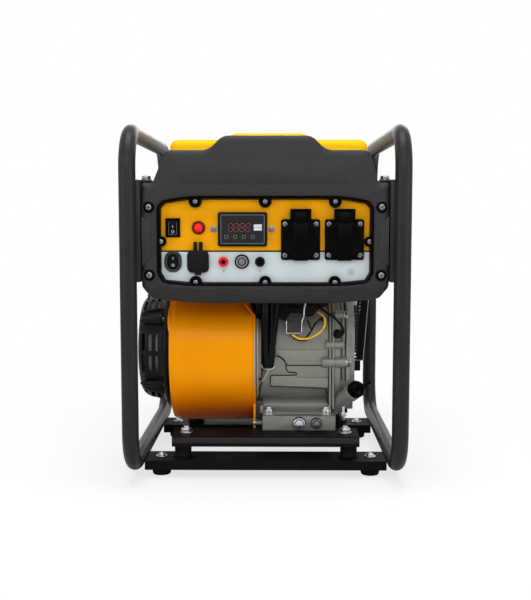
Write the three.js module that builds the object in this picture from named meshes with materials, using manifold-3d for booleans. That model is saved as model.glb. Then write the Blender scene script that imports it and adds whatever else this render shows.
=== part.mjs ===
// Open-frame inverter generator of the 2 kW class: a single-cylinder petrol engine turns a permanent-magnet
// alternator, and an inverter behind the control panel feeds the outlets.
//
// Millimetres. +X is the operator's right, +Y runs back from the control panel and +Z is up. The origin is on the
// floor, in the middle between the two tube loops. Every piece is one closed solid in its own named mesh.

import * as THREE from "three";
import { mergeVertices } from "three/addons/utils/BufferGeometryUtils.js";
import Module from "manifold-3d";

const wasm = await Module();
wasm.setup();

// ---------------------------------------------------------------- clearances

const seatGap = 0.3; // between two pieces that rest against or hold each other
const runningGap = 0.5; // round a piece that turns or slides
const bite = 1; // how far a welded or cast-on feature reaches into what carries it

// ---------------------------------------------------------------- frame and base

const tubeDiameter = 22;
const earToLoop = 17.5; // edge of the fascia's ear to the tube's centre, with the bracket between
const loopHalfDepth = 205; // centre of the front and rear uprights
const loopTop = 466; // centre of the top tube
const loopBend = 50;
const footDrop = 11.7; // floor to the lower edge of the base channels
const footRadius = 13.2;
const footInset = 20.2; // end of the base channel to the foot's screw
const footScrewRadius = 5.5;
const channelWidth = 52.5;
const channelHeight = 12.8;
const channelWall = 2.5;
const channelFrontY = -131;
const channelRearY = 85;

// ---------------------------------------------------------------- cradle on rubber mounts

const isolatorHeight = 30.6;
const isolatorRadius = 13;
const isolatorWaist = 11;
const isolatorInset = 32.5; // foot's screw to the rubber mount's stud
const studRadius = 4;
const nutRadius = 7.2;
const nutHeight = 6.5;
const cradleOverhang = 15.5; // rubber mount's stud to the cradle's end
const cradleHeight = 14;
const railWidth = 30;

// ---------------------------------------------------------------- engine

const crankY = -20;
const crankHeight = 104.5; // engine foot to crankshaft
const caseLeft = -10;
const caseRight = 97;
const caseWall = 9;
const chamberRadius = 54;
const footFront = 100; // crankshaft to the engine foot's front edge
const footRear = 84; // and to its rear edge
const footThickness = 20;
const engineBoltLeft = 4.4;
const engineBoltRight = 84;
const engineBoltFront = 84; // in front of the crankshaft
const engineBoltRear = 62; // behind it
const drainX = 46.5;
const sensorX = 70.5;
const coverFlange = 7;
const coverDepth = 28;
const shaftRadius = 12;
const shaftEndRadius = 10;
const webRadius = 35;
const webThickness = 11;
const crankThrow = 20;
const crankPinRadius = 10;
const crankPinLength = 22;
const cylinderX = 47;
const cylinderTilt = 25; // degrees above level, towards the rear
const boreRadius = 26;
const barrelRadius = 33;
const barrelStart = 50;
const barrelEnd = 112;
const finHalf = 41;
const finThickness = 2.4;
const finPitch = 8;
const headLength = 32;
const valveCoverLength = 22;
const valveCoverWidth = 60;
const valveCoverHeight = 52;
const valveCoverCorner = 12;
const plugInset = 31; // cylinder's axis to the spark plug
const pistonLength = 32;
const pistonCrownGap = 2; // crown below the head at the top of the stroke
const neckLength = 38;
const neckRadius = 10.5;
const neckBore = 7;
const oilCapRadius = 11.8;
const oilCapLength = 11;
const dipstickRadius = 2.2;
const dipstickLength = 50;

// ---------------------------------------------------------------- alternator, fan and recoil starter

const shroudRadius = 108.5;
const shroudRear = 98; // flattened towards the air filter
const shroudWall = 2.5;
const shroudLeft = -139;
const shroudRight = -14;
const shroudIntake = 70; // radius of the opening that the recoil starter covers
const backPlateRadius = 90;
const rotorRadius = 80;
const rotorWall = 8;
const rotorLeft = -112;
const rotorRight = -46;
const hubRadius = 20;
const fanBlades = 10;
const fanDepth = 15;
const fanRadius = 84;
const shroudFlangeBore = 86;
const statorRadius = 70;
const statorBore = 36;
const statorInset = 30; // rotor's face to the winding
const statorOverlap = 2; // how far the winding stands out of the rotor
const sleeveWall = 8;
const starterRim = 88;
const starterRadius = 82;
const starterShoulder = 76;
const starterFace = -183; // outer face
const starterWall = 2.5;
const starterSectors = 5;
const postRadius = 7;
const reelRadius = 48;
const reelDrum = 36;
const guideEnd = 80; // rope guide's mouth, from the crankshaft
const reelWidth = 13;
const reelInset = 31; // starter's face to the middle of the reel
const gripLength = 84;
const gripRadius = 10;

// ---------------------------------------------------------------- intake, exhaust and fuel

const mufflerLeft = 97;
const mufflerRight = 146;
const mufflerFront = 64;
const mufflerDepth = 100;
const mufflerBottom = 138;
const mufflerHeight = 122;
const guardWall = 1.5;
const guardGap = 5;
const guardFlare = 11; // how much further out the guard stands at its top
const filterWidth = 90;
const filterDepth = 82;
const filterHeight = 112;
const tankShift = 4; // the tank and the crown above the panel stand this far right of the middle
const tankHalfWidth = 131;
const tankFront = -158;
const tankRear = 150;
const tankWall = 2.5;
const tankRim = 7;
const tankShoulder = 457.5; // top of the side decks
const tankDeck = 466; // top of the middle deck
const tankDeckHalf = 55;
const fillerRadius = 19;
const fillerWall = 3;
const fillerHeight = 5;
const capRadius = 31;
const capHeight = 9;
const tapInset = 41; // tank's left side to the tap
const tapY = 40;
const shelfHalfWidth = 110;
const shelfReach = 22; // how far the rear shelf runs under the tank

// ---------------------------------------------------------------- control housing and panel

const fasciaFront = -204;
const fasciaWall = 3;
const fasciaSkirt = 38; // depth of the outer edge
const panelFace = -192;
const panelThickness = 2;
const earHalfWidth = 158.5;
const earTop = 399;
const earBottom = 267;
const fasciaBottom = 244;
const shoulderHalfWidth = 128.4;
const shoulderTop = 440.5;
const crownTop = 459;
const crownHalfWidth = 57;
const windowHalfWidth = 133.5;
const windowTop = 377.5;
const windowBottom = 271.5;
const windowCorner = 9;
const lobeRadius = 8.2;
const sideLobeRadius = 7.7;
const sideLobeX = 135.2;
const lobeX = 89.8;
const housingHalfWidth = 150;
const housingBack = -100;
const housingBottom = 252;
const housingWall = 2.5;
const inverterHalfWidth = 100;
const inverterDepth = 40;
const inverterHeight = 116;
const socketWidth = 50.4;
const socketHeight = 52.5;
const socketZ = 326.5;
const socketLeftX = 45.5;
const socketRightX = 102;
const socketPlate = 5; // flange thickness
const socketWellRadius = 19.5;
const socketWellDepth = 17;
const lidRadius = 24;
const lidThickness = 6;
const lidHingeRise = 32.5; // hinge line above the middle of the socket
const lidEarRise = 39.5; // top of the hinge's ears above it
const lidHingeOut = 6;
const upperRowZ = 341.7;
const lowerRowZ = 298;
const switchX = -119.3;
const lampX = -86.1;
const meterX = -29.2;
const meterWidth = 63.7;
const meterHeight = 44.3;
const meterProud = 5;
const usbX = -86.8;
const usbSize = 28.5;
const postRedX = -53.9;
const terminalMargin = 12; // binding post to the end of the terminal board
const breakerX = -30.2;
const sleeveX = [-4, 12, 6]; // the wiring's left and right sleeves at the top, and both where they meet
const sleeveRadius = 5;
const harnessStandOff = 14; // engine's front wall to the sleeves
const harnessDrop = 96;
const mouthHeight = 8;
const mouthHalfDepth = 7;
const postBlackX = -6.7;

// ---------------------------------------------------------------- places worked out from the sizes

const tubeRadius = tubeDiameter / 2;
const loopHalfWidth = earHalfWidth + earToLoop; // middle plane to the tube's centre
const channelTop = footDrop + channelHeight;
const loopBottom = channelTop;
const channelHalfLength = loopHalfWidth - tubeRadius - seatGap;
const footX = channelHalfLength - footInset;
const isolatorX = footX - isolatorInset;
const cradleHalfLength = isolatorX + cradleOverhang;
const cradleTop = channelTop + isolatorHeight + channelWall + 2 * seatGap;
const crankZ = cradleTop + crankHeight + seatGap;
const headEnd = barrelEnd + seatGap + headLength;
const housingTop = earTop - fasciaWall;
const tankBottom = housingTop + seatGap;
const tapX = tankShift - tankHalfWidth + tapInset;
const fasciaBack = fasciaFront + fasciaSkirt;

// ---------------------------------------------------------------- shapes

const DEGREE = Math.PI / 180;
const MERGE = 1e-3;

/** A closed geometry, or a solid already made, as a manifold-3d solid with its faces pointing out. */
function solid(shape) {
  if (!shape.isBufferGeometry) return shape;
  const loose = shape.index ? shape.toNonIndexed() : shape;
  const bare = new THREE.BufferGeometry();
  bare.setAttribute("position", loose.getAttribute("position"));
  const merged = mergeVertices(bare, MERGE);
  const corners = merged.index.array;
  const faces = [];
  for (let i = 0; i < corners.length; i += 3) {
    const [a, b, c] = [corners[i], corners[i + 1], corners[i + 2]];
    if (a !== b && b !== c && c !== a) faces.push(a, b, c);
  }
  const vertProperties = merged.attributes.position.array;
  const made = new wasm.Manifold(new wasm.Mesh({ numProp: 3, vertProperties, triVerts: new Uint32Array(faces) }));
  if (made.volume() > 0) return made;
  return new wasm.Manifold(
    new wasm.Mesh({ numProp: 3, vertProperties, triVerts: new Uint32Array(faces.reverse()) }),
  );
}

/** Several shapes joined into one solid. */
function join(first, ...others) {
  return others.reduce((made, shape) => made.add(solid(shape)), solid(first));
}

/** A shape with others cut away from it. */
function cut(base, ...tools) {
  return tools.reduce((made, tool) => made.subtract(solid(tool)), solid(base));
}

/** A three.js geometry of a shape. */
function geometryOf(shape) {
  const mesh = solid(shape).getMesh();
  const geometry = new THREE.BufferGeometry();
  geometry.setAttribute("position", new THREE.BufferAttribute(mesh.vertProperties, 3));
  geometry.setIndex(new THREE.BufferAttribute(mesh.triVerts, 1));
  geometry.computeVertexNormals();
  return geometry;
}

/** A box between two corners, given as ranges along X, Y and Z. */
function block([x0, x1], [y0, y1], [z0, z1]) {
  const made = new THREE.BoxGeometry(x1 - x0, y1 - y0, z1 - z0);
  return made.translate((x0 + x1) / 2, (y0 + y1) / 2, (z0 + z1) / 2);
}

/** An outline through points, or a three.js shape as it is. */
function outlineOf(outline) {
  return Array.isArray(outline) ? new THREE.Shape(outline.map(([a, b]) => new THREE.Vector2(a, b))) : outline;
}

/** An outline swept straight along an axis. It is drawn in (y, z) for axis x, (x, z) for y and (x, y) for z. */
function prism(axis, outline, from, to, curveSegments = 3) {
  const settings = { depth: to - from, bevelEnabled: false, curveSegments };
  const made = new THREE.ExtrudeGeometry(outlineOf(outline), settings);
  if (axis === "z") return made.translate(0, 0, from);
  if (axis === "y") return made.rotateX(90 * DEGREE).translate(0, to, 0);
  const turn = new THREE.Matrix4().makeBasis(
    new THREE.Vector3(0, 1, 0),
    new THREE.Vector3(0, 0, 1),
    new THREE.Vector3(1, 0, 0),
  );
  return made.applyMatrix4(turn).translate(from, 0, 0);
}

/** A profile of [radius, place along the axis] turned about an axis through a point. */
function turned(axis, profile, [x, y, z] = [0, 0, 0], sides = 20) {
  const points = profile.map(([radius, along]) => new THREE.Vector2(radius, along));
  const onAxis = profile[0][0] === 0 && profile[profile.length - 1][0] === 0;
  if (!onAxis) points.push(points[0].clone());
  const made = new THREE.LatheGeometry(points, sides);
  if (axis === "x") made.rotateZ(-90 * DEGREE);
  if (axis === "z") made.rotateX(90 * DEGREE);
  return made.translate(x, y, z);
}

/** A round bar along an axis. */
function bar(axis, radius, from, to, at, sides = 12) {
  return turned(axis, [[0, from], [radius, from], [radius, to], [0, to]], at, sides);
}

/** A round ring along an axis, with a bore. */
function ring(axis, radius, bore, from, to, at, sides = 32) {
  return turned(axis, [[bore, from], [radius, from], [radius, to], [bore, to]], at, sides);
}

/** A rectangle with rounded corners, as a shape. */
function roundedRectangle(width, height, corner, [cx, cy] = [0, 0]) {
  const [w, h] = [width / 2, height / 2];
  const shape = new THREE.Shape();
  shape.absarc(cx + w - corner, cy - h + corner, corner, -90 * DEGREE, 0);
  shape.absarc(cx + w - corner, cy + h - corner, corner, 0, 90 * DEGREE);
  shape.absarc(cx - w + corner, cy + h - corner, corner, 90 * DEGREE, 180 * DEGREE);
  shape.absarc(cx - w + corner, cy - h + corner, corner, 180 * DEGREE, 270 * DEGREE);
  return shape;
}

/** A round hose or cable through points. */
function hose(points, radius, steps, sides = 4) {
  const path = new THREE.CatmullRomCurve3(points.map((p) => new THREE.Vector3(...p)), false, "centripetal");
  const section = new THREE.Shape().absarc(0, 0, radius, 0, 360 * DEGREE);
  const settings = { steps, extrudePath: path, curveSegments: sides };
  return new THREE.ExtrudeGeometry(section, settings);
}

/** A tube bent into a closed rectangle with round corners, in a plane of constant X. */
function tubeLoop(x, halfDepth, bottom, top, bend, radius, bendSteps = 4, sides = 12) {
  const centres = [];
  const corners = [
    [halfDepth - bend, top - bend, 0],
    [-halfDepth + bend, top - bend, 90],
    [-halfDepth + bend, bottom + bend, 180],
    [halfDepth - bend, bottom + bend, 270],
  ];
  for (const [y, z, start] of corners) {
    for (let i = 0; i <= bendSteps; i++) {
      const angle = (start + (90 * i) / bendSteps) * DEGREE;
      const out = [Math.cos(angle), Math.sin(angle)];
      centres.push({ y: y + bend * out[0], z: z + bend * out[1], out });
    }
  }
  const places = [];
  for (const { y, z, out } of centres) {
    for (let j = 0; j < sides; j++) {
      const turn = (360 * j * DEGREE) / sides;
      const reach = radius * Math.cos(turn);
      places.push(x + radius * Math.sin(turn), y + reach * out[0], z + reach * out[1]);
    }
  }
  const faces = [];
  for (let i = 0; i < centres.length; i++) {
    for (let j = 0; j < sides; j++) {
      const [a, b] = [i * sides + j, i * sides + ((j + 1) % sides)];
      const next = (((i + 1) % centres.length) - i) * sides;
      faces.push(a, b, b + next, a, b + next, a + next);
    }
  }
  const made = new THREE.BufferGeometry();
  made.setAttribute("position", new THREE.Float32BufferAttribute(places, 3));
  return made.setIndex(faces);
}

// ---------------------------------------------------------------- materials

/** A material with its colour, roughness and metalness. */
function finish(color, roughness, metalness = 0) {
  return new THREE.MeshStandardMaterial({ color, roughness, metalness });
}

const frameBlack = finish(0x2b2b2b, 0.45, 0.3);
const plasticBlack = finish(0x303030, 0.6);
const rubberBlack = finish(0x161616, 0.85);
const glossBlack = finish(0x0b0b0b, 0.25);
const amberPaint = finish(0xe08a08, 0.35);
const yellowPlastic = finish(0xf5b90f, 0.4);
const panelPrint = finish(0xe6aa12, 0.5);
const castAluminium = finish(0x8d8f88, 0.6, 0.8);
const steel = finish(0xb8bbb8, 0.35, 0.9);
const copper = finish(0xb06a3a, 0.5, 0.7);
const redPlastic = finish(0xd0151b, 0.3);

// ---------------------------------------------------------------- the assembly

const generator = new THREE.Group();
const engine = new THREE.Group();
engine.position.set(0, crankY, crankZ);
const controls = new THREE.Group();
controls.position.set(0, panelFace, 0);
generator.add(engine, controls);

/** Adds a piece to a group as a named mesh. */
function piece(group, name, material, shape) {
  const mesh = new THREE.Mesh(geometryOf(shape), material);
  mesh.name = name;
  group.add(mesh);
  return mesh;
}

/** Left and right, with the sign of X. */
const SIDES = [["left", -1], ["right", 1]];
/** Front and rear, with the middle of the base channel there. */
const ENDS = [["front", channelFrontY], ["rear", channelRearY]];

// ---------------------------------------------------------------- tube frame, base channels and feet

const bracketBottom = earBottom + 5;
const bracketBack = fasciaFront + 52;
const tabTop = earTop + 4;

/** One side of the frame: a closed tube loop with the welded bracket that carries the control housing. */
function sideLoop(side) {
  const inner = loopHalfWidth - tubeRadius + bite;
  const outerEdge = earHalfWidth + seatGap;
  const range = (a, b) => (side < 0 ? [-b, -a] : [a, b]);
  const plate = block(range(outerEdge, inner), [fasciaFront - 2, bracketBack], [bracketBottom, tabTop]);
  const tab = block(range(earHalfWidth - 11.5, inner), [fasciaFront + 12, bracketBack], [earTop + seatGap, tabTop]);
  const bolt = bar("z", 5.5, earTop + 1, tabTop + 6, [side * (earHalfWidth - 3.5), fasciaFront + 26, 0], 6);
  const loop = tubeLoop(side * loopHalfWidth, loopHalfDepth, loopBottom, loopTop, loopBend, tubeRadius);
  return join(loop, plate, tab, bolt);
}

/** A folded channel, open downwards, with round holes through its web. */
function channel(halfLength, centreY, top, height, holes, holeRadius) {
  const [half, wall] = [channelWidth / 2, channelWall];
  const outline = [
    [-half, top - height],
    [-half, top],
    [half, top],
    [half, top - height],
    [half - wall, top - height],
    [half - wall, top - wall],
    [-half + wall, top - wall],
    [-half + wall, top - height],
  ];
  const made = prism("x", outline, -halfLength, halfLength).translate(0, centreY, 0);
  return cut(made, ...holes.map((x) => bar("z", holeRadius, top - height, top + 1, [x, centreY, 0], 12)));
}

for (const [name, side] of SIDES) piece(generator, `side_loop_${name}`, frameBlack, sideLoop(side));

for (const [end, y] of ENDS) {
  const web = channelTop - channelWall - seatGap;
  const holes = [-footX, footX, -isolatorX, isolatorX];
  const holeRadius = studRadius + runningGap;
  piece(
    generator,
    `base_channel_${end}`,
    frameBlack,
    channel(channelHalfLength, y, channelTop, channelHeight, holes, holeRadius),
  );
  for (const [name, side] of SIDES) {
    const rubber = turned(
      "z",
      [[0, 0], [footRadius - 4, 0], [footRadius - 1, 2], [footRadius, 6], [footRadius, web], [0, web]],
      [side * footX, y, 0],
      14,
    );
    const screw = bar("z", studRadius, web - bite, channelTop + 2, [side * footX, y, 0], 12);
    const head = bar("z", footScrewRadius, channelTop + seatGap, channelTop + 4, [side * footX, y, 0], 12);
    piece(generator, `foot_${end}_${name}`, rubberBlack, join(rubber, screw, head));
  }
}

// ---------------------------------------------------------------- engine cradle on four rubber mounts

const railSpan = [channelFrontY + channelWidth / 2 - bite, channelRearY - channelWidth / 2 + bite];

/** The cradle: two cross channels and the two rails under the engine's feet, welded into one. */
function cradle() {
  const [front, rear] = ENDS.map(([, y]) =>
    channel(cradleHalfLength, y, cradleTop, cradleHeight, [-isolatorX, isolatorX], studRadius + runningGap),
  );
  const rails = [engineBoltLeft, engineBoltRight].map((x) =>
    cut(
      block([x - railWidth / 2, x + railWidth / 2], railSpan, [cradleTop - cradleHeight, cradleTop]),
      block(
        [x - railWidth / 2 + channelWall, x + railWidth / 2 - channelWall],
        railSpan,
        [cradleTop - cradleHeight - 1, cradleTop - channelWall],
      ),
    ),
  );
  return join(front, rear, ...rails);
}

piece(generator, "engine_cradle", frameBlack, cradle());

for (const [end, y] of ENDS) {
  for (const [name, side] of SIDES) {
    const [low, high] = [channelTop + seatGap, cradleTop - channelWall - seatGap];
    const middle = (low + high) / 2;
    const rubber = turned(
      "z",
      [[0, low], [isolatorRadius, low], [isolatorRadius, low + 4], [isolatorWaist, middle],
        [isolatorRadius, high - 4], [isolatorRadius, high], [0, high]],
      [side * isolatorX, y, 0],
      14,
    );
    const stud = bar("z", studRadius, channelTop - 5, cradleTop + nutHeight + 3, [side * isolatorX, y, 0], 12);
    const nut = bar("z", nutRadius, cradleTop + seatGap, cradleTop + nutHeight, [side * isolatorX, y, 0], 6);
    piece(generator, `isolator_${end}_${name}`, rubberBlack, join(rubber, stud, nut));
  }
}

// ---------------------------------------------------------------- engine: crankcase, cover, crankshaft, piston

/** A geometry drawn along +Y from the crankshaft, turned up to the cylinder's tilt. */
const tilted = (shape) => shape.rotateX(cylinderTilt * DEGREE);
/** Along the cylinder: [y, z] of a point at some distance out and some distance up from its axis. */
const alongCylinder = (out, up = 0) => [
  out * Math.cos(cylinderTilt * DEGREE) - up * Math.sin(cylinderTilt * DEGREE),
  out * Math.sin(cylinderTilt * DEGREE) + up * Math.cos(cylinderTilt * DEGREE),
];

const caseFront = -75; // front wall, from the crankshaft
const caseTop = 76;
const jointLow = alongCylinder(62, -45);
const jointHigh = alongCylinder(62, 45);
/** The crankcase in (y, z) about the crankshaft, without its foot. */
const caseOutline = [
  [58, -crankHeight + footThickness - 4],
  [70, -62],
  jointLow,
  jointHigh,
  [8, caseTop],
  [-42, caseTop - 2],
  [-67, caseTop - 24],
  [caseFront, 30],
  [caseFront, -42],
  [-67, -57],
  [-50, -74],
  [-45, -crankHeight + footThickness - 4],
];

/** Crankcase and cylinder barrel in one casting, with the foot, its bolts and the drain plugs. */
function crankcase() {
  const body = prism("x", caseOutline, caseLeft, caseRight);
  const foot = block(
    [engineBoltLeft - 9, caseRight],
    [-footFront, footRear],
    [-crankHeight, -crankHeight + footThickness],
  );
  const backPlate = turned(
    "x",
    [[0, caseLeft - 4], [backPlateRadius, caseLeft - 4], [backPlateRadius, caseLeft + 3], [60, caseLeft + 8],
      [0, caseLeft + 8]],
    [0, 0, 0],
    32,
  );
  const barrel = tilted(bar("y", barrelRadius, barrelStart, barrelEnd, [cylinderX, 0, 0], 20));
  const fins = [];
  for (let out = 68; out < barrelEnd; out += finPitch) {
    fins.push(tilted(block([cylinderX - finHalf, cylinderX + finHalf], [out, out + finThickness], [-finHalf, finHalf])));
  }
  const nuts = [engineBoltLeft, engineBoltRight].flatMap((x) =>
    [-engineBoltFront, engineBoltRear].map((y) =>
      bar("z", nutRadius, -crankHeight + footThickness - bite, -crankHeight + footThickness + nutHeight, [x, y, 0], 6),
    ),
  );
  const plugZ = -crankHeight + footThickness / 2;
  const plugs = [[drainX, 8], [sensorX, 6.5]].map(([x, radius]) =>
    bar("y", radius, -footFront - 5, -footFront + bite, [x, 0, plugZ], 6),
  );
  const bosses = [[12.5, 6.5, 84], [-12.5, 8, 79]].map(([z, radius, from]) =>
    bar("x", radius, from, caseRight, [0, caseFront + 1, z], 12),
  );
  const chamber = bar("x", chamberRadius, caseLeft + caseWall, caseRight + 1, [0, 0, 0], 24);
  const shaftHole = bar("x", shaftRadius + runningGap, caseLeft - 5, caseLeft + caseWall + 1, [0, 0, 0], 24);
  const bore = tilted(bar("y", boreRadius, 20, barrelEnd + 1, [cylinderX, 0, 0], 20));
  return cut(join(body, foot, backPlate, barrel, ...fins, ...nuts, ...plugs, ...bosses), chamber, shaftHole, bore);
}

const neckDirection = new THREE.Vector3(0.55, -0.62, 0.52).normalize();
const neckFoot = new THREE.Vector3(102, -60, -72);

/** A geometry drawn along +Y, laid along the oil filler's axis from its foot. */
function alongNeck(shape) {
  const turn = new THREE.Quaternion().setFromUnitVectors(new THREE.Vector3(0, 1, 0), neckDirection);
  return shape.applyQuaternion(turn).translate(...neckFoot.toArray());
}

/** Crankcase cover: flange, domed middle, bolt bosses and the oil filler neck. */
function crankcaseCover() {
  const from = caseRight + seatGap;
  const flange = prism("x", caseOutline, from, from + coverFlange);
  const dome = prism("x", caseOutline.map(([y, z]) => [y * 0.97, z * 0.97]), from + coverFlange - bite, from + coverDepth);
  const bosses = [[12.5, 6.5, 12, 0], [-12.5, 8, 15.7, 6.5], [54, 6, 13, 5]].flatMap(([z, radius, length, head]) => {
    const centre = [0, z > 50 ? -66 : caseFront + 1, z];
    const boss = bar("x", radius, from, from + length, centre, 12);
    return head ? [boss, bar("x", radius - 2, from + length - bite, from + length + head, centre, 6)] : [boss];
  });
  const neck = alongNeck(turned("y", [[0, -14], [neckRadius + 5, -14], [neckRadius, 16], [neckRadius, neckLength], [0, neckLength]], [0, 0, 0], 14));
  const neckHole = alongNeck(bar("y", neckBore, -24, neckLength + 1, [0, 0, 0], 12));
  const caseSide = block([from - 40, from], [-200, 200], [-200, 200]);
  const hollow = bar("x", chamberRadius, from - 1, from + coverFlange + 3, [0, 0, 0], 32);
  const seat = bar("x", shaftRadius + runningGap, from, from + coverDepth - 5, [0, 0, 0], 24);
  return cut(join(flange, dome, ...bosses, neck), neckHole, hollow, seat, caseSide);
}

/** Crankshaft: journals, two webs, the crank pin and the long end that carries the alternator rotor. */
function crankshaft() {
  const webs = [-1, 1].map((side) => cylinderX + (side * (crankPinLength + webThickness)) / 2);
  const discs = webs.map((x) => bar("x", webRadius, x - webThickness / 2, x + webThickness / 2, [0, 0, 0], 24));
  const pin = bar("x", crankPinRadius, webs[0], webs[1], [0, ...alongCylinder(crankThrow)], 16);
  const rightEnd = caseRight + seatGap + coverDepth - 5 - 2;
  const leftJournal = bar("x", shaftRadius, caseLeft - 2, webs[0], [0, 0, 0], 24);
  const rightJournal = bar("x", shaftRadius, webs[1], rightEnd, [0, 0, 0], 24);
  const taper = bar("x", shaftEndRadius, rotorLeft - 12, caseLeft, [0, 0, 0], 24);
  return join(leftJournal, rightJournal, taper, ...discs, pin);
}

piece(engine, "crankcase", castAluminium, crankcase());
piece(engine, "crankcase_cover", castAluminium, crankcaseCover());
piece(engine, "crankshaft", steel, crankshaft());

const crown = barrelEnd - pistonCrownGap;
piece(
  engine,
  "piston",
  castAluminium,
  tilted(
    turned(
      "y",
      [[0, crown], [boreRadius - runningGap, crown], [boreRadius - runningGap, crown - pistonLength],
        [boreRadius - 5, crown - pistonLength], [boreRadius - 5, crown - 8], [0, crown - 8]],
      [cylinderX, 0, 0],
      20,
    ),
  ),
);

const oilCap = join(
  alongNeck(bar("y", oilCapRadius, neckLength + seatGap, neckLength + seatGap + oilCapLength, [0, 0, 0], 20)),
  alongNeck(block([-9, 9], [neckLength + oilCapLength, neckLength + oilCapLength + 6], [-2, 2])),
  alongNeck(bar("y", dipstickRadius, neckLength - dipstickLength, neckLength + 2, [0, 0, 0], 8)),
);
piece(engine, "oil_filler_cap", rubberBlack, oilCap);

// ---------------------------------------------------------------- cylinder head, valve cover, spark plug

const headFrom = barrelEnd + seatGap;

/** Cylinder head with its fins. */
function cylinderHead() {
  const core = block([cylinderX - 36, cylinderX + 36], [headFrom, headEnd], [-36, 36]);
  const fins = [0, 1, 2].map((i) => {
    const out = headFrom + 2 + i * 9;
    return block([cylinderX - finHalf, cylinderX + finHalf], [out, out + finThickness], [-finHalf, finHalf]);
  });
  return tilted(geometryOf(join(core, ...fins)));
}

piece(engine, "cylinder_head", castAluminium, cylinderHead());

const valveCover = prism(
  "y",
  roundedRectangle(valveCoverWidth, valveCoverHeight, valveCoverCorner, [cylinderX + 6, -6]),
  headEnd + seatGap,
  headEnd + valveCoverLength,
);
piece(engine, "valve_cover", steel, tilted(valveCover));

const plugX = cylinderX - plugInset;
const plugUp = 22;
const plugBody = join(
  bar("y", 7, headEnd + seatGap, headEnd + 9, [plugX, 0, plugUp], 6),
  bar("y", 4.5, headEnd + 8, headEnd + 20, [plugX, 0, plugUp], 12),
);
piece(engine, "spark_plug", steel, tilted(geometryOf(plugBody)));

// ---------------------------------------------------------------- alternator and cooling fan

/** Fan shroud: a drum round the alternator whose upper rear is squared off towards the cylinder. */
function fanShroud() {
  const corner = 24;
  const drum = (radius, from, to) => {
    const rear = radius - shroudRadius + shroudRear;
    const outline = new THREE.Shape();
    outline.moveTo(0, 0);
    outline.lineTo(rear, 0);
    outline.lineTo(rear, radius - corner);
    outline.absarc(rear - corner, radius - corner, corner, 0, 90 * DEGREE);
    outline.lineTo(0, radius);
    const round = cut(
      bar("x", radius, from, to, [0, 0, 0], 40),
      block([from - 1, to + 1], [rear, radius + 1], [-radius, radius]),
    );
    return join(round, prism("x", outline, from, to));
  };
  return cut(
    drum(shroudRadius, shroudLeft, shroudRight - seatGap),
    drum(shroudRadius - shroudWall, shroudLeft + shroudWall, shroudRight - seatGap - shroudWall),
    bar("x", shroudFlangeBore, shroudRight - 10, shroudRight + 1, [0, 0, 0], 32),
    bar("x", shroudIntake, shroudLeft - 1, shroudLeft + shroudWall + 1, [0, 0, 0], 32),
  );
}

piece(engine, "fan_shroud", amberPaint, fanShroud());

/** Rotor: a magnet cup with the cooling fan's blades on its outer face. */
function rotor() {
  const boreOf = shaftEndRadius + seatGap;
  const cup = turned("x", [
    [boreOf, rotorLeft - 8], [hubRadius, rotorLeft - 8], [hubRadius, rotorLeft], [rotorRadius, rotorLeft],
    [rotorRadius, rotorRight], [rotorRadius - rotorWall, rotorRight], [rotorRadius - rotorWall, rotorLeft + rotorWall],
    [hubRadius, rotorLeft + rotorWall], [hubRadius, rotorLeft + 22], [boreOf, rotorLeft + 22],
  ], [0, 0, 0], 24);
  const blades = [];
  for (let i = 0; i < fanBlades; i++) {
    const blade = block([rotorLeft - fanDepth, rotorLeft + bite], [46, fanRadius], [-1.5, 1.5]);
    blades.push(blade.rotateX(((360 * i) / fanBlades) * DEGREE));
  }
  return join(cup, ...blades);
}

piece(engine, "rotor", steel, rotor());

/** Stator: the wound ring inside the rotor, on a sleeve that stands on the crankcase. */
function stator() {
  const foot = caseLeft - 4 - seatGap;
  return turned("x", [
    [statorBore - sleeveWall, rotorLeft + statorInset], [statorRadius, rotorLeft + statorInset],
    [statorRadius, rotorRight + statorOverlap], [statorBore, rotorRight + statorOverlap],
    [statorBore, foot], [statorBore - sleeveWall, foot],
  ], [0, 0, 0], 24);
}

piece(engine, "stator", copper, stator());

// ---------------------------------------------------------------- recoil starter

const starterFoot = shroudLeft - seatGap;
const reelMiddle = starterFace + reelInset;
const postEnd = reelMiddle + reelWidth / 2 + runningGap + 2;

/** Recoil starter housing: a vented cup with a centre post for the reel and a guide for the rope. */
function recoilCover() {
  const wall = starterWall;
  const shell = turned("x", [
    [0, starterFace], [62, starterFace], [70, starterFace + 3], [starterShoulder, starterFace + 10],
    [starterRadius, starterFoot - 8], [starterRim, starterFoot - 5], [starterRim, starterFoot],
    [starterRadius - wall, starterFoot], [starterRadius - wall, starterFoot - 6],
    [starterShoulder - wall, starterFace + 11], [68, starterFace + 5], [61, starterFace + wall], [0, starterFace + wall],
  ], [0, 0, 0], 32);
  const post = bar("x", postRadius, starterFace + 1, postEnd, [0, 0, 0], 16);
  const washer = bar("x", postRadius + 4, postEnd - 2, postEnd, [0, 0, 0], 16);
  const slots = [];
  for (let i = 0; i < starterSectors * 2; i++) {
    const sector = Math.floor(i / 2) * (360 / starterSectors);
    const angle = sector + (i % 2 ? 14 : -14) + 180;
    const slot = block([starterFace + 14, starterFace + 31], [59, 99], [-13, 13]);
    slots.push(slot.rotateX(angle * DEGREE));
  }
  const guide = bar("y", 8, 62, guideEnd, [reelMiddle, 0, reelDrum], 16);
  const guideHole = bar("y", 3.2, 40, guideEnd + 5, [reelMiddle, 0, reelDrum], 12);
  return cut(join(cut(shell, ...slots), post, washer, guide), guideHole);
}

piece(engine, "recoil_cover", plasticBlack, recoilCover());

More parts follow.
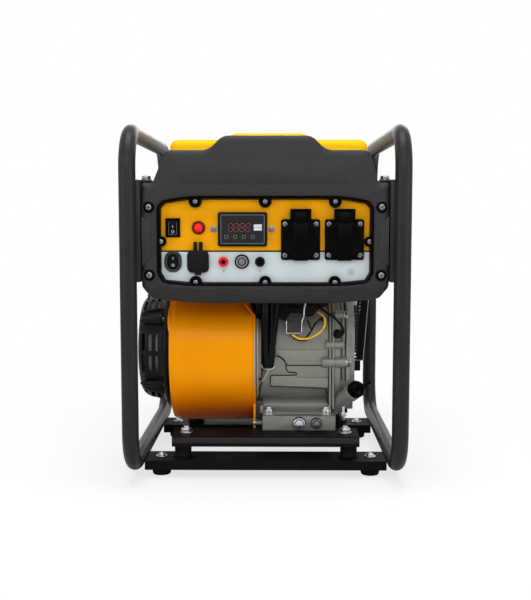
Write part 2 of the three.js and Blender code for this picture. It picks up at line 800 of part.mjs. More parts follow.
const reelBore = postRadius + runningGap;
piece(
  engine,
  "starter_reel",
  plasticBlack,
  turned("x", [
    [reelBore, reelMiddle - reelWidth / 2], [reelRadius, reelMiddle - reelWidth / 2],
    [reelRadius, reelMiddle - reelWidth / 2 + 2], [reelDrum - 3, reelMiddle - reelWidth / 2 + 2],
    [reelDrum - 3, reelMiddle + reelWidth / 2 - 2], [reelRadius, reelMiddle + reelWidth / 2 - 2],
    [reelRadius, reelMiddle + reelWidth / 2], [reelBore, reelMiddle + reelWidth / 2],
  ], [0, 0, 0], 24),
);

/** Starter grip: a rounded cross bar with its neck and the knotted rope end inside the guide. */
function starterGrip() {
  const face = guideEnd + seatGap;
  const [x, z] = [reelMiddle, reelDrum];
  const half = gripLength / 2;
  const crossBar = turned(
    "z",
    [[0, z - half], [gripRadius - 3, z - half], [gripRadius, z - half + 5], [gripRadius - 2, z],
      [gripRadius, z + half - 5], [gripRadius - 3, z + half], [0, z + half]],
    [x, face + 6 + gripRadius, 0],
    16,
  );
  const neck = bar("y", 7, face, face + 10, [x, 0, z], 16);
  const rope = bar("y", 2.2, face - 14, face + 4, [x, 0, z], 8);
  return join(crossBar, neck, rope);
}

piece(engine, "starter_grip", rubberBlack, starterGrip());

// ---------------------------------------------------------------- exhaust

/** Muffler: a rounded can with the flange that meets the head and its outlet at the rear. */
function muffler() {
  const can = prism(
    "x",
    roundedRectangle(mufflerDepth, mufflerHeight, 18, [mufflerFront + mufflerDepth / 2, mufflerBottom + mufflerHeight / 2]),
    mufflerLeft,
    mufflerRight,
  );
  const [portY, portZ] = alongCylinder(headFrom + headLength / 2);
  const flangeFrom = cylinderX + finHalf + seatGap;
  const port = bar("x", 14, flangeFrom, mufflerLeft + bite, [0, crankY + portY, crankZ + portZ], 16);
  const outletY = mufflerFront + mufflerDepth;
  const outlet = ring("y", 9, 7, outletY - bite, outletY + 12, [mufflerRight - 16, 0, mufflerBottom + 24], 16);
  return join(can, port, outlet);
}

piece(generator, "muffler", steel, muffler());

/** Heat guard: a folded sheet round the muffler's front, outer side and rear, wider at its top. */
function mufflerGuard() {
  const [left, right] = [mufflerLeft + 4, mufflerRight + guardGap];
  const [low, high] = [mufflerBottom - 9, mufflerBottom + mufflerHeight + guardGap];
  const wedge = (inset, reach) =>
    prism(
      "y",
      [[left, low + inset], [right - inset, low + inset], [right + guardFlare - inset, high - inset], [left, high - inset]],
      mufflerFront - guardGap - reach,
      mufflerFront + mufflerDepth + guardGap + reach,
    );
  const shell = cut(wedge(0, 0), wedge(guardWall, -guardWall), block([left - 5, left + 12], [0, 300], [low - 1, high - guardWall]));
  const vents = [];
  for (let i = 0; i < 7; i++) {
    const z = low + 16 + i * 16;
    vents.push(block([right - 30, right + 30], [mufflerFront + 14, mufflerFront + mufflerDepth - 14], [z, z + 5]));
    vents.push(block([left + 26, right - 6], [0, mufflerFront - 1], [z, z + 5]));
  }
  const outletHole = block(
    [mufflerRight - 30, mufflerRight - 3],
    [mufflerFront + mufflerDepth, mufflerFront + mufflerDepth + 30],
    [mufflerBottom + 10, mufflerBottom + 38],
  );
  const strut = block([left + 20, left + 44], [mufflerFront - guardGap, mufflerFront + 20], [low - 17, low + 1]);
  const standoffs = [30, mufflerHeight - 30].map((up) =>
    bar("y", 5, mufflerFront - guardGap, mufflerFront - seatGap, [mufflerLeft + 22, 0, mufflerBottom + up], 10),
  );
  return join(cut(join(shell, strut), ...vents, outletHole), ...standoffs);
}

piece(generator, "muffler_guard", frameBlack, mufflerGuard());

// ---------------------------------------------------------------- intake

const [intakeOut, intakeUp] = alongCylinder(headFrom + headLength / 2, -10);
const intakeY = crankY + intakeOut;
const intakeZ = crankZ + intakeUp;
const carbRight = cylinderX - finHalf - seatGap;
const carbLeft = carbRight - 46;

/** Carburettor: throat, float bowl and the throttle motor on top. */
function carburettor() {
  const throat = bar("x", 13, carbLeft, carbRight, [0, intakeY, intakeZ], 16);
  const body = block([carbLeft + 10, carbRight - 12], [intakeY - 15, intakeY + 15], [intakeZ - 14, intakeZ + 14]);
  const bowl = bar("z", 14, intakeZ - 40, intakeZ - 12, [(carbLeft + carbRight) / 2, intakeY, 0], 16);
  const motor = bar("z", 13, intakeZ + 12, intakeZ + 38, [(carbLeft + carbRight) / 2, intakeY, 0], 16);
  const inlet = bar("y", 3, intakeY + 14, intakeY + 26, [carbRight - 18, 0, intakeZ - 8], 10);
  return join(throat, body, bowl, motor, inlet);
}

piece(generator, "carburettor", castAluminium, carburettor());

const filterRight = carbLeft - seatGap;
const filterX = filterRight - filterWidth / 2;
const filterY = intakeY + 22;
const filterZ = intakeZ + 14;
const filterOutline = roundedRectangle(filterWidth - 6, filterHeight, 12, [filterX - 3, filterZ]);
const filterBox = prism("y", filterOutline, filterY - filterDepth / 2, filterY + filterDepth / 2);
const filterThroat = bar("x", 16, filterRight - 12, filterRight, [0, intakeY, intakeZ], 16);
piece(generator, "air_filter", plasticBlack, join(filterBox, filterThroat));

const chokeX = carbLeft + 8;
const chokePivot = intakeY + 15 + seatGap;
const choke = join(
  bar("y", 5, chokePivot, chokePivot + 5, [chokeX + 8, 0, intakeZ + 4], 12),
  block([chokeX + 5, chokeX + 11], [chokePivot + 1, chokePivot + 4], [intakeZ + 4, intakeZ + 30]),
  block([chokeX + 3, chokeX + 13], [chokePivot + 1, chokePivot + 14], [intakeZ + 26, intakeZ + 31]),
);
piece(generator, "choke_lever", plasticBlack, choke);

// ---------------------------------------------------------------- fuel tank, tap and hose

/** The tank's cross-section in (x, z), taken in by some distance all round. */
function tankSection(inset) {
  const half = tankHalfWidth - inset;
  const [low, side, deck] = [tankBottom + inset, tankShoulder - inset, tankDeck - inset];
  const middle = tankDeckHalf - inset;
  const right = [
    [half, low],
    [half, side - 16],
    [half - 3, side - 8],
    [half - 10, side],
    [middle + 9, side],
    [middle, deck],
  ];
  const left = right.map(([x, z]) => [-x, z]).reverse();
  return [...right, ...left].map(([x, z]) => [x + tankShift, z]);
}

/** Fuel tank: a hollow body with a seam rim, a filler neck and the outlet above the tap. */
function fuelTank() {
  const outer = prism("y", tankSection(0), tankFront, tankRear);
  const inner = prism("y", tankSection(tankWall), tankFront + tankWall, tankRear - tankWall);
  const half = tankHalfWidth + tankRim;
  const rim = block([tankShift - half, tankShift + half], [tankFront, tankRear + tankRim], [tankBottom, tankBottom + 3]);
  const neck = bar("z", fillerRadius + fillerWall, tankDeck - 8, tankDeck + fillerHeight, [tankShift, 0, 0], 24);
  const filler = bar("z", fillerRadius, tankDeck - 20, tankDeck + 6, [tankShift, 0, 0], 24);
  return cut(join(outer, rim, neck), inner, filler);
}

piece(generator, "fuel_tank", yellowPlastic, fuelTank());

const capBore = fillerRadius + fillerWall + runningGap;
const capInside = tankDeck + fillerHeight + seatGap;
const fuelCap = turned(
  "z",
  [[capBore, tankDeck + seatGap], [capRadius, tankDeck + seatGap], [capRadius, tankDeck + capHeight - 2],
    [capRadius - 3, tankDeck + capHeight], [0, tankDeck + capHeight], [0, capInside], [capBore, capInside]],
  [tankShift, 0, 0],
  28,
);
piece(generator, "fuel_cap", plasticBlack, fuelCap);

const tapTop = tankBottom - seatGap;
const tapBody = join(
  bar("z", 7, tapTop - 16, tapTop, [tapX, tapY, 0], 12),
  block([tapX - 9, tapX + 9], [tapY - 9, tapY + 9], [tapTop - 30, tapTop - 12]),
  bar("z", 3, tapTop - 42, tapTop - 28, [tapX, tapY, 0], 10),
);
piece(generator, "fuel_tap", castAluminium, tapBody);

const leverFace = tapX - 9 - seatGap;
const tapLever = join(
  bar("x", 6, leverFace - 6, leverFace, [0, tapY, tapTop - 21], 12),
  block([leverFace - 6, leverFace - 2], [tapY - 4, tapY + 4], [tapTop - 44, tapTop - 21]),
);
piece(generator, "fuel_tap_lever", redPlastic, tapLever);

const hoseEnd = intakeY + 26 + seatGap;
const fuelHose = hose(
  [
    [tapX, tapY, tapTop - 42 - seatGap],
    [tapX, tapY, tapTop - 50],
    [tapX + 18, tapY + 22, tapTop - 74],
    [tapX + 44, tapY + 58, tapTop - 94],
    [carbRight - 26, hoseEnd + 8, intakeZ + 84],
    [carbRight - 18, hoseEnd + 24, intakeZ + 40],
    [carbRight - 18, hoseEnd + 22, intakeZ + 6],
    [carbRight - 18, hoseEnd + 8, intakeZ - 8],
    [carbRight - 18, hoseEnd, intakeZ - 8],
  ],
  3.6,
  26,
);
piece(generator, "fuel_hose", rubberBlack, fuelHose);

/** Rear cross member: a folded rail between the rear uprights with the shelf that carries the tank. */
function rearCrossMember() {
  const half = loopHalfWidth - tubeRadius - seatGap;
  const shelfTop = tankBottom - seatGap;
  const rail = block([-half, half], [loopHalfDepth - 2, loopHalfDepth + 2], [shelfTop - 26, shelfTop]);
  const shelf = block([-shelfHalfWidth, shelfHalfWidth], [tankRear - shelfReach, loopHalfDepth + bite], [shelfTop - 3, shelfTop]);
  return join(rail, shelf);
}

piece(generator, "rear_cross_member", frameBlack, rearCrossMember());

// ---------------------------------------------------------------- control housing

/** The fascia's outline in (x, z), taken in by some distance all round. */
function fasciaOutline(inset) {
  const corner = 5;
  const right = [
    [92, fasciaBottom],
    [146, fasciaBottom + 6],
    [earHalfWidth, earBottom],
    [earHalfWidth, earTop - corner],
    [earHalfWidth - corner, earTop],
    [146, earTop],
    [141.5, earTop + 5],
    [shoulderHalfWidth + tankShift + 1, shoulderTop - 6],
    [shoulderHalfWidth + tankShift - 4, shoulderTop],
    [76.4 + tankShift, shoulderTop],
    [crownHalfWidth + 8 + tankShift, crownTop - 7],
    [crownHalfWidth + tankShift, crownTop],
  ];
  const left = right.map(([x, z]) => [z > earTop + 20 ? 2 * tankShift - x : -x, z]).reverse();
  const middle = (fasciaBottom + crownTop) / 2;
  return [...right, ...left].map(([x, z]) => [
    x - inset * Math.sign(x),
    z - inset * Math.sign(z - middle),
  ]);
}

/** The window in front of the panel, in (x, z), grown by some distance all round. */
function windowOutline(grow) {
  const [w, top, bottom] = [windowHalfWidth + grow, windowTop + grow, windowBottom - grow];
  const right = [
    [lobeX + 8, bottom],
    [w - windowCorner, bottom + 3],
    [w, bottom + 12],
    [w, top - 12],
    [w - windowCorner, top - 4],
    [lobeX + 8, top],
  ];
  return [...right, ...right.map(([x, z]) => [-x, z]).reverse()];
}

/** The middles of the screw lobes above and below the window, and at its sides. */
const lobes = [-lobeX, 0, lobeX].flatMap((x) => [[x, windowTop - 2], [x, windowBottom]]);
const sideLobes = [[-sideLobeX, 324], [sideLobeX, 324]];
/** The middles of the four corner screws. */
const cornerScrews = [[-149, 368], [149, 368], [-149, 281], [149, 281]];

/** Fascia: the moulded front with its crown, skirt, recessed window and screw lobes. */
function fascia() {
  const shell = cut(
    prism("y", fasciaOutline(0), fasciaFront, fasciaBack),
    prism("y", fasciaOutline(fasciaWall), fasciaFront + fasciaWall, fasciaBack + 1),
  );
  const liner = prism("y", windowOutline(fasciaWall), fasciaFront + 1, panelFace - seatGap);
  const lobeBar = (radius) => ([x, z]) => bar("y", radius, fasciaFront + 4, panelFace - seatGap, [x, 0, z], 14);
  const lobeBars = [...lobes.map(lobeBar(lobeRadius)), ...sideLobes.map(lobeBar(sideLobeRadius))];
  const window = prism("y", windowOutline(0), fasciaFront - 1, panelFace + 1);
  const wells = cornerScrews.map(([x, z]) => bar("y", 6, fasciaFront - 1, fasciaFront + 2, [x, 0, z], 14));
  return cut(join(cut(join(shell, liner), window), ...lobeBars), ...wells);
}

piece(generator, "fascia", plasticBlack, fascia());

/** Rear half of the control housing: an open box behind the fascia. */
function controlHousing() {
  const front = fasciaBack + seatGap;
  const [half, wall] = [housingHalfWidth, housingWall];
  const outer = block([-half, half], [front, housingBack], [housingBottom, housingTop - seatGap]);
  const inner = block(
    [-half + wall, half - wall],
    [front - 1, housingBack - wall],
    [housingBottom + wall, housingTop - seatGap - wall],
  );
  const louvres = [-2, -1, 0, 1, 2].map((i) =>
    block([i * 44 - 15, i * 44 + 15], [housingBack - 20, housingBack - 14], [housingBottom - 1, housingBottom + 5]),
  );
  return cut(outer, inner, ...louvres);
}

piece(generator, "control_housing", plasticBlack, controlHousing());

/** Inverter module: a finned aluminium block screwed to the housing's back wall. */
function inverterModule() {
  const back = housingBack - housingWall - seatGap;
  const low = housingBottom + housingWall + 6;
  const body = block([-inverterHalfWidth, inverterHalfWidth], [back - inverterDepth + 12, back], [low, low + inverterHeight]);
  const fins = [];
  for (let x = -inverterHalfWidth; x <= inverterHalfWidth - 4; x += 28) {
    fins.push(block([x, x + 4], [back - inverterDepth, back - inverterDepth + 13], [low, low + inverterHeight]));
  }
  return join(body, ...fins);
}

piece(generator, "inverter_module", castAluminium, inverterModule());

// ---------------------------------------------------------------- control panel, drawn from its front face

/** Depth ranges along Y from the panel's face: in front of it, through it and behind it. */
const proud = (depth) => [-depth - seatGap, -seatGap];

/** The panel's hole round a switch body of some half width and half height. */
const switchHole = ([w, h], z) =>
  block([switchX - w - seatGap, switchX + w + seatGap], [-1, 3], [z - h - seatGap, z + h + seatGap]);

const switchInner = [7.5, 11.6];
const ecoInner = [7, 10.5];
const holes = [
  switchHole(switchInner, upperRowZ),
  switchHole(ecoInner, lowerRowZ),
  bar("y", 7, -1, 3, [lampX, 0, upperRowZ], 16),
  block([meterX - 27, meterX + 27], [-1, 3], [upperRowZ - 20, upperRowZ + 16]),
  block([usbX - 10, usbX + 10], [-1, 3], [lowerRowZ - 6, lowerRowZ + 6]),
  bar("y", 6.4, -1, 3, [breakerX, 0, lowerRowZ], 16),
  ...[postRedX, postBlackX].map((x) => bar("y", 3.2, -1, 3, [x, 0, lowerRowZ], 12)),
  ...[socketLeftX, socketRightX].map((x) => bar("y", 22, -1, 3, [x, 0, socketZ], 24)),
];
piece(
  controls,
  "control_panel",
  panelPrint,
  cut(prism("y", windowOutline(fasciaWall + 2), 0, panelThickness), ...holes),
);

/** A switch body: bezel in front of the panel, box behind it, and the pocket that its rocker turns in. */
function switchBody(bezel, [halfWidth, halfHeight], [x, z]) {
  const behind = block([x - halfWidth, x + halfWidth], [-1, 16], [z - halfHeight, z + halfHeight]);
  const pocket = block(
    [x - halfWidth + 1, x + halfWidth - 1],
    [-10, 9],
    [z - halfHeight + 1, z + halfHeight - 1],
  );
  return cut(join(bezel, behind), pocket);
}

/** A rocker on a level axis, tipped so that its lower end is pressed in. */
function rocker([halfWidth, halfHeight], [x, z]) {
  const outline = [
    [-3.2, -halfHeight],
    [-4.6, halfHeight],
    [4, halfHeight * 0.6],
    [4, -halfHeight * 0.6],
  ];
  return prism("x", outline, -halfWidth, halfWidth).translate(x, 1, z);
}

const rockerOf = ([w, h]) => [w - 1 - runningGap, h - 1 - 2 * runningGap];
const engineBezel = block([switchX - 9.5, switchX + 9.5], proud(2.4), [upperRowZ - 12.3, upperRowZ + 12.3]);
piece(controls, "engine_switch", plasticBlack, switchBody(engineBezel, switchInner, [switchX, upperRowZ]));
piece(controls, "engine_switch_rocker", plasticBlack, rocker(rockerOf(switchInner), [switchX, upperRowZ]));

const ecoBezel = prism("y", roundedRectangle(22.5, 28, 11, [switchX, lowerRowZ]), -3 - seatGap, -seatGap);
piece(controls, "eco_switch", plasticBlack, switchBody(ecoBezel, ecoInner, [switchX, lowerRowZ]));
piece(controls, "eco_switch_rocker", plasticBlack, rocker(rockerOf(ecoInner), [switchX, lowerRowZ]));

piece(
  controls,
  "warning_lamp",
  redPlastic,
  turned("y", [[0, -9], [4, -8], [6.8, -4], [8.4, -3.3], [8.4, -seatGap], [6.5, -seatGap], [6.5, 14], [0, 14]],
    [lampX, 0, upperRowZ], 20),
);

const meterZ = upperRowZ - 2;
const meter = cut(
  join(
    prism("y", roundedRectangle(meterWidth, meterHeight, 3, [meterX, meterZ]), -meterProud - seatGap, -seatGap, 3),
    block([meterX - 26.5, meterX + 26.5], [-1, 24], [upperRowZ - 19.5, upperRowZ + 15.5]),
  ),
  block([meterX - 27.5, meterX + 27.5], [-10, -meterProud + 0.8], [meterZ - 17.5, meterZ + 17.5]),
);
piece(controls, "meter", plasticBlack, meter);

/** Outlet: a square flange round a deep well with two pin holes. */
function outlet(x) {
  const flange = prism("y", roundedRectangle(socketWidth, socketHeight, 3, [x, socketZ]), -socketPlate - seatGap, -seatGap, 3);
  const barrel = bar("y", 21.4, -1, 34, [x, 0, socketZ], 24);
  const wellFloor = -socketPlate - seatGap + socketWellDepth;
  const well = bar("y", socketWellRadius, -socketPlate - 1, wellFloor, [x, 0, socketZ], 24);
  const pins = [-9.5, 9.5].map((dx) => bar("y", 2.6, wellFloor - 1, wellFloor + 14, [x + dx, 0, socketZ], 10));
  const ears = [-1, 1].map((side) =>
    block([x + side * 11 - 2.5, x + side * 11 + 2.5], [-lidHingeOut - 4, -seatGap], [socketZ + socketHeight / 2 - 2, socketZ + lidEarRise]),
  );
  return join(cut(join(flange, barrel), well, ...pins), ...ears);
}

/** Spring lid of an outlet: a round cover with its hinge barrel between the ears and a lifting lip. */
function outletLid(x) {
  const face = -socketPlate - 2 * seatGap;
  const disc = turned(
    "y",
    [[0, face - lidThickness], [lidRadius - 3, face - lidThickness], [lidRadius, face - lidThickness + 3], [lidRadius, face],
      [0, face]],
    [x, 0, socketZ],
    28,
  );
  const arm = block([x - 8, x + 8], [face - lidThickness, face - 1], [socketZ, socketZ + lidHingeRise]);
  const knuckle = bar("x", 3, x - 8, x + 8, [0, -lidHingeOut - 3, socketZ + lidHingeRise], 12);
  const lip = block([x - 9, x + 9], [face - lidThickness, face - 1], [socketZ - lidRadius - 3, socketZ - lidRadius + 3]);
  return join(disc, arm, knuckle, lip);
}

for (const [name, x] of [["left", socketLeftX], ["right", socketRightX]]) {
  piece(controls, `outlet_${name}`, glossBlack, outlet(x));
  piece(controls, `outlet_lid_${name}`, glossBlack, outletLid(x));
}

const usbPort = cut(
  join(
    block([usbX - 12.5, usbX + 12.5], proud(2), [lowerRowZ - 10, lowerRowZ + 10]),
    block([usbX - 9.5, usbX + 9.5], [-1, 18], [lowerRowZ - 5.5, lowerRowZ + 5.5]),
  ),
  block([usbX - 6.8, usbX + 6.8], [-5, 13], [lowerRowZ - 3, lowerRowZ + 3]),
);
piece(controls, "usb_port", plasticBlack, usbPort);

const usbFlap = join(
  prism("y", roundedRectangle(usbSize, usbSize, 6, [usbX, lowerRowZ]), -2 - 2 * seatGap - 3.5, -2 - 2 * seatGap, 4),
  ...[-3.6, 3.6].map((dx) =>
    block([usbX + dx - 2.2, usbX + dx + 2.2], [-5.6, -seatGap], [lowerRowZ + usbSize / 2 - 2, lowerRowZ + 25.5]),
  ),
  block([usbX - 4, usbX + 4], [-5.6, -3.2], [lowerRowZ - usbSize / 2 - 2, lowerRowZ - usbSize / 2 + 2]),
);
piece(controls, "usb_cover", rubberBlack, usbFlap);

/** Terminal board: the insulating strip behind the panel with the two threaded studs through it. */
const terminals = join(
  block([postRedX - terminalMargin, postBlackX + terminalMargin], [panelThickness + seatGap, panelThickness + 5], [lowerRowZ - 9, lowerRowZ + 9]),
  ...[postRedX, postBlackX].map((x) => bar("y", 2.2, -11, 14, [x, 0, lowerRowZ], 10)),
);
piece(
  controls,
  "terminal_board",
  plasticBlack,
  cut(terminals, bar("y", 7.4, 0, 12, [breakerX, 0, lowerRowZ], 16)),
);

for (const [name, x, material] of [["red", postRedX, redPlastic], ["black", postBlackX, plasticBlack]]) {
  const knob = turned(
    "y",
    [[2.2 + seatGap, -14], [5.4, -14], [6.6, -12], [6.6, -seatGap], [2.2 + seatGap, -seatGap]],
    [x, 0, lowerRowZ],
    16,
  );
  piece(controls, `terminal_knob_${name}`, material, knob);
}

const breaker = cut(
  join(
    turned("y", [[0, -4], [7.4, -4], [8.8, -2.5], [8.8, -seatGap], [0, -seatGap]], [breakerX, 0, lowerRowZ], 20),
    bar("y", 6, -1, 22, [breakerX, 0, lowerRowZ], 16),
  ),
  bar("y", 4.8, -5, 12, [breakerX, 0, lowerRowZ], 16),
);
piece(controls, "breaker", plasticBlack, breaker);
piece(controls, "breaker_button", steel, bar("y", 4.8 - runningGap, -7, 7, [breakerX, 0, lowerRowZ], 16));

// ---------------------------------------------------------------- wiring

const harnessTop = housingBottom - seatGap;
const caseFace = crankY + caseFront;
const sleeveY = caseFace - harnessStandOff;
const sleeveEnd = [sleeveX[2], sleeveY + 2, harnessTop - harnessDrop];
const sleeves = [sleeveX[0], sleeveX[1]].map((x) =>
  hose(
    [[x, sleeveY, harnessTop - 1], [x, sleeveY, harnessTop - mouthHeight],
      [x, sleeveY - 1, harnessTop - 0.4 * harnessDrop], [(x + sleeveX[2]) / 2, sleeveY - 1, harnessTop - 0.8 * harnessDrop],
      sleeveEnd],
    sleeveRadius,
    10,
  ),
);
const mouthX = [sleeveX[0] - sleeveRadius - 1, sleeveX[1] + sleeveRadius + 1];
const harness = join(
  ...sleeves,
  block(mouthX, [sleeveY - mouthHalfDepth, sleeveY + mouthHalfDepth], [harnessTop - mouthHeight, harnessTop]),
);
piece(generator, "wiring_harness", rubberBlack, harness);

export default generator;
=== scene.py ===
"""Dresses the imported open-frame generator: shapes are numpy surfaces and finishes are node graphs.

Sizes are in millimetres in the part's own frame, +X to the operator's right, +Y to the rear and +Z up.
They become metres only where a mesh is made.
"""

import sys
import logging
import math
from collections.abc import Sequence
from dataclasses import dataclass, field
from enum import Enum

import bmesh
import bpy
import numpy as np
from mathutils import Euler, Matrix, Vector


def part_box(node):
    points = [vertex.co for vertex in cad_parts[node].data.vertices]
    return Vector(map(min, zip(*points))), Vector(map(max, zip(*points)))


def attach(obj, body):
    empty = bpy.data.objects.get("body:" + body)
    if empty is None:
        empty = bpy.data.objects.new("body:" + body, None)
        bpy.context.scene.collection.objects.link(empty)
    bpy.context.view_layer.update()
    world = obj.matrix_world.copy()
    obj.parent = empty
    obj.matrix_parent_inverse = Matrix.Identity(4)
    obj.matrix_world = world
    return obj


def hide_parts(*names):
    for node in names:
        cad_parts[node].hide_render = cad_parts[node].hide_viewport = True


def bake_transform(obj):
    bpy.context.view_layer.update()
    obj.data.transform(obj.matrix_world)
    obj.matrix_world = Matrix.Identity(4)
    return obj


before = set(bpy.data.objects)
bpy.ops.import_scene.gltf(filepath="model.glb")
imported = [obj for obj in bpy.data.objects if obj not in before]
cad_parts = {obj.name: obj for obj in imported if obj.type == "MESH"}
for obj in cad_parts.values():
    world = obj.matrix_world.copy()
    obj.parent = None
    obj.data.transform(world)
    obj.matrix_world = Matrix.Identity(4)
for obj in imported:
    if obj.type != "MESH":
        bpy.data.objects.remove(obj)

log = logging.getLogger("generator")
Array = np.ndarray
Colour = tuple[float, float, float]
Pair = tuple[float, float]
Triple = tuple[float, float, float]
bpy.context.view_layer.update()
MM = 0.001
SAME_POINT = 1e-6
SAME_CAD_POINT = 2e-5
FLAT = math.radians(1.0)
LEAST_BEVEL = 30.0
ROOT = "generator"
TURN = 2 * math.pi


class Along(Enum):
    """The row axis that a shape is drawn along."""

    X = 0
    Y = 1
    Z = 2


X, Y, Z = Along


class Side(Enum):
    """The operator's left and right, with the sign of X."""

    LEFT = -1
    RIGHT = 1

    @property
    def label(self) -> str:
        """The side's name in lower case."""
        return self.name.lower()


# ---------------------------------------------------------------- surfaces


@dataclass
class Skin:
    """A surface as points and faces.

    Attributes:
        points: one row of x, y and z for each point, in millimetres.
        faces: the point numbers of each face.
    """

    points: Array
    faces: list[tuple[int, ...]]

    def __add__(self, other: "Skin") -> "Skin":
        """Both surfaces as one.

        Args:
            other: the second surface.

        Returns:
            The surface of both.
        """
        shift = len(self.points)
        moved = [tuple(i + shift for i in face) for face in other.faces]
        return Skin(np.vstack([self.points, other.points]), self.faces + moved)

    def moved(self, x: float = 0.0, y: float = 0.0, z: float = 0.0) -> "Skin":
        """The surface shifted by x, y and z."""
        return Skin(self.points + np.array([x, y, z]), self.faces)

    def turned(self, axis: Along, degrees: float) -> "Skin":
        """The surface turned about an axis through the origin, by the right-hand rule.

        Args:
            axis: the row axis it turns about.
            degrees: the angle.

        Returns:
            The turned surface.
        """
        angle = math.radians(degrees)
        i, j = [(1, 2), (2, 0), (0, 1)][axis.value]
        turn = np.eye(3)
        turn[i, i] = turn[j, j] = math.cos(angle)
        turn[j, i], turn[i, j] = math.sin(angle), -math.sin(angle)
        return Skin(self.points @ turn.T, self.faces)

    def aimed(self, direction: Sequence[float], foot: Sequence[float]) -> "Skin":
        """The surface, drawn along +Y from the origin, laid along a direction from a foot point."""
        turn = Vector((0.0, 1.0, 0.0)).rotation_difference(Vector(direction)).to_matrix()
        return Skin(self.points @ np.array(turn).T + np.array(foot), self.faces)


def joined(skins: Sequence[Skin]) -> Skin:
    """Several surfaces as one.

    Args:
        skins: the surfaces.

    Returns:
        One surface.
    """
    whole = skins[0]
    for skin in skins[1:]:
        whole = whole + skin
    return whole


def cells(index: Array) -> Array:
    """The four corners of each cell of a grid, in order round it."""
    return np.stack([index[:-1, :-1], index[:-1, 1:], index[1:, 1:], index[1:, :-1]], -1)


def grid(points: Array, loop: bool = False) -> Skin:
    """A surface over a grid: a face joins two neighbours in a row and the same two in the next row.

    Args:
        points: rows by columns by x, y, z, where the columns close on themselves.
        loop: the rows close on themselves too; otherwise the first and last are filled.

    Returns:
        The surface.
    """
    rows, columns = points.shape[:2]
    index = np.arange(rows * columns).reshape(rows, columns)
    below = np.vstack([index, index[:1]]) if loop else index
    across = np.hstack([below, below[:, :1]])
    faces = [tuple(face) for face in cells(across).reshape(-1, 4).tolist()]
    if not loop:
        faces += [tuple(index[0, ::-1].tolist()), tuple(index[-1].tolist())]
    return Skin(points.reshape(-1, 3).astype(float), faces)


def placed(first: Array, second: Array, along: Array, axis: Along) -> Array:
    """Plane coordinates and a place along an axis as x, y, z: (y, z) for X, (x, z) for Y, (x, y) for Z.

    Args:
        first: the first plane coordinate.
        second: the second plane coordinate.
        along: the place along the axis.
        axis: the axis across the plane.

    Returns:
        The points, one row of three in the last dimension.
    """
    first, second, along = np.broadcast_arrays(first, second, along)
    order = {X: (along, first, second), Y: (first, along, second), Z: (first, second, along)}
    return np.stack(order[axis], -1).astype(float)


def unit(angle: Array) -> Array:
    """Points on the unit circle: the cosine and the sine of each angle."""
    return np.stack([np.cos(angle), np.sin(angle)], -1)


def unit_rows(rows: Array) -> Array:
    """Each row divided by its length."""
    return rows / np.linalg.norm(rows, axis=1, keepdims=True)


def circle(radius: float, sides: int = 32) -> Array:
    """Points round a circle: radius times the cosine and the sine of equal steps."""
    angle = np.linspace(0.0, TURN, sides, endpoint=False)
    return radius * unit(angle)


def softened(corners: Sequence[Pair], setback: float | Sequence[float], steps: int = 5) -> Array:
    """A closed outline with its corners rounded.

    Each corner becomes the curve (1-t)^2 a + 2 t (1-t) corner + t^2 b, with a and b a setback away from it.

    Args:
        corners: the outline's corners in order.
        setback: how far from each corner its curve starts, for all or for each.
        steps: points on each curve.

    Returns:
        The outline's points.
    """
    p = np.array(corners, float)
    back = np.broadcast_to(np.array(setback, float), len(p))[:, None]
    before, after = np.roll(p, 1, 0) - p, np.roll(p, -1, 0) - p
    lengths = [np.linalg.norm(v, axis=1, keepdims=True) for v in (before, after)]
    a = p + before / lengths[0] * np.minimum(back, 0.49 * lengths[0])
    b = p + after / lengths[1] * np.minimum(back, 0.49 * lengths[1])
    t = np.linspace(0.0, 1.0, steps)[None, :, None]
    curve = (1 - t) ** 2 * a[:, None] + 2 * t * (1 - t) * p[:, None] + t**2 * b[:, None]
    return curve.reshape(-1, 2)


def rounded_rectangle(width: float, height: float, corner: float, centre: Pair = (0.0, 0.0),
                      steps: int = 6) -> Array:
    """A rectangle whose corners are quarter circles: a corner's middle plus a turning radius.

    Args:
        width: its size along the first axis.
        height: its size along the second.
        corner: the corners' radius.
        centre: its middle.
        steps: points on each corner.

    Returns:
        The outline's points.
    """
    angle = np.linspace(0.0, math.pi / 2, steps)[None, :] + np.arange(4)[:, None] * math.pi / 2
    signs = np.array([[1, 1], [-1, 1], [-1, -1], [1, -1]])
    middle = signs * (np.array([width, height]) / 2 - corner) + np.array(centre)
    return (middle[:, None] + corner * unit(angle)).reshape(-1, 2)


def mirrored(right: Sequence[Pair], middle: float = 0.0) -> list[Pair]:
    """The left half of an outline in (x, z), read backwards from its right half about a middle line."""
    return [(2 * middle - x, z) for x, z in reversed(right)]


def inset(outline: Array, amount: float) -> Array:
    """An outline moved inwards: each point goes by the mitre of the normals of its two edges.

    Args:
        outline: the outline.
        amount: how far it moves; outwards where negative.

    Returns:
        The new outline, with as many points.
    """
    edge = np.roll(outline, -1, 0) - outline
    length = np.maximum(np.linalg.norm(edge, axis=1), 1e-9)[:, None]
    normal = np.stack([edge[:, 1], -edge[:, 0]], -1) / length
    area = np.sum(outline[:, 0] * np.roll(outline[:, 1], -1) - np.roll(outline[:, 0], -1) * outline[:, 1])
    before = np.roll(normal, 1, 0)
    mitre = (before + normal) / np.maximum(1 + np.sum(before * normal, 1), 0.3)[:, None]
    return outline - mitre * amount * (1.0 if area > 0 else -1.0)


def stacked(outlines: Array, places: Array, axis: Along, loop: bool = False) -> Skin:
    """A surface through outlines of equal length, each at its own place along an axis."""
    return grid(placed(outlines[..., 0], outlines[..., 1], places, axis), loop=loop)


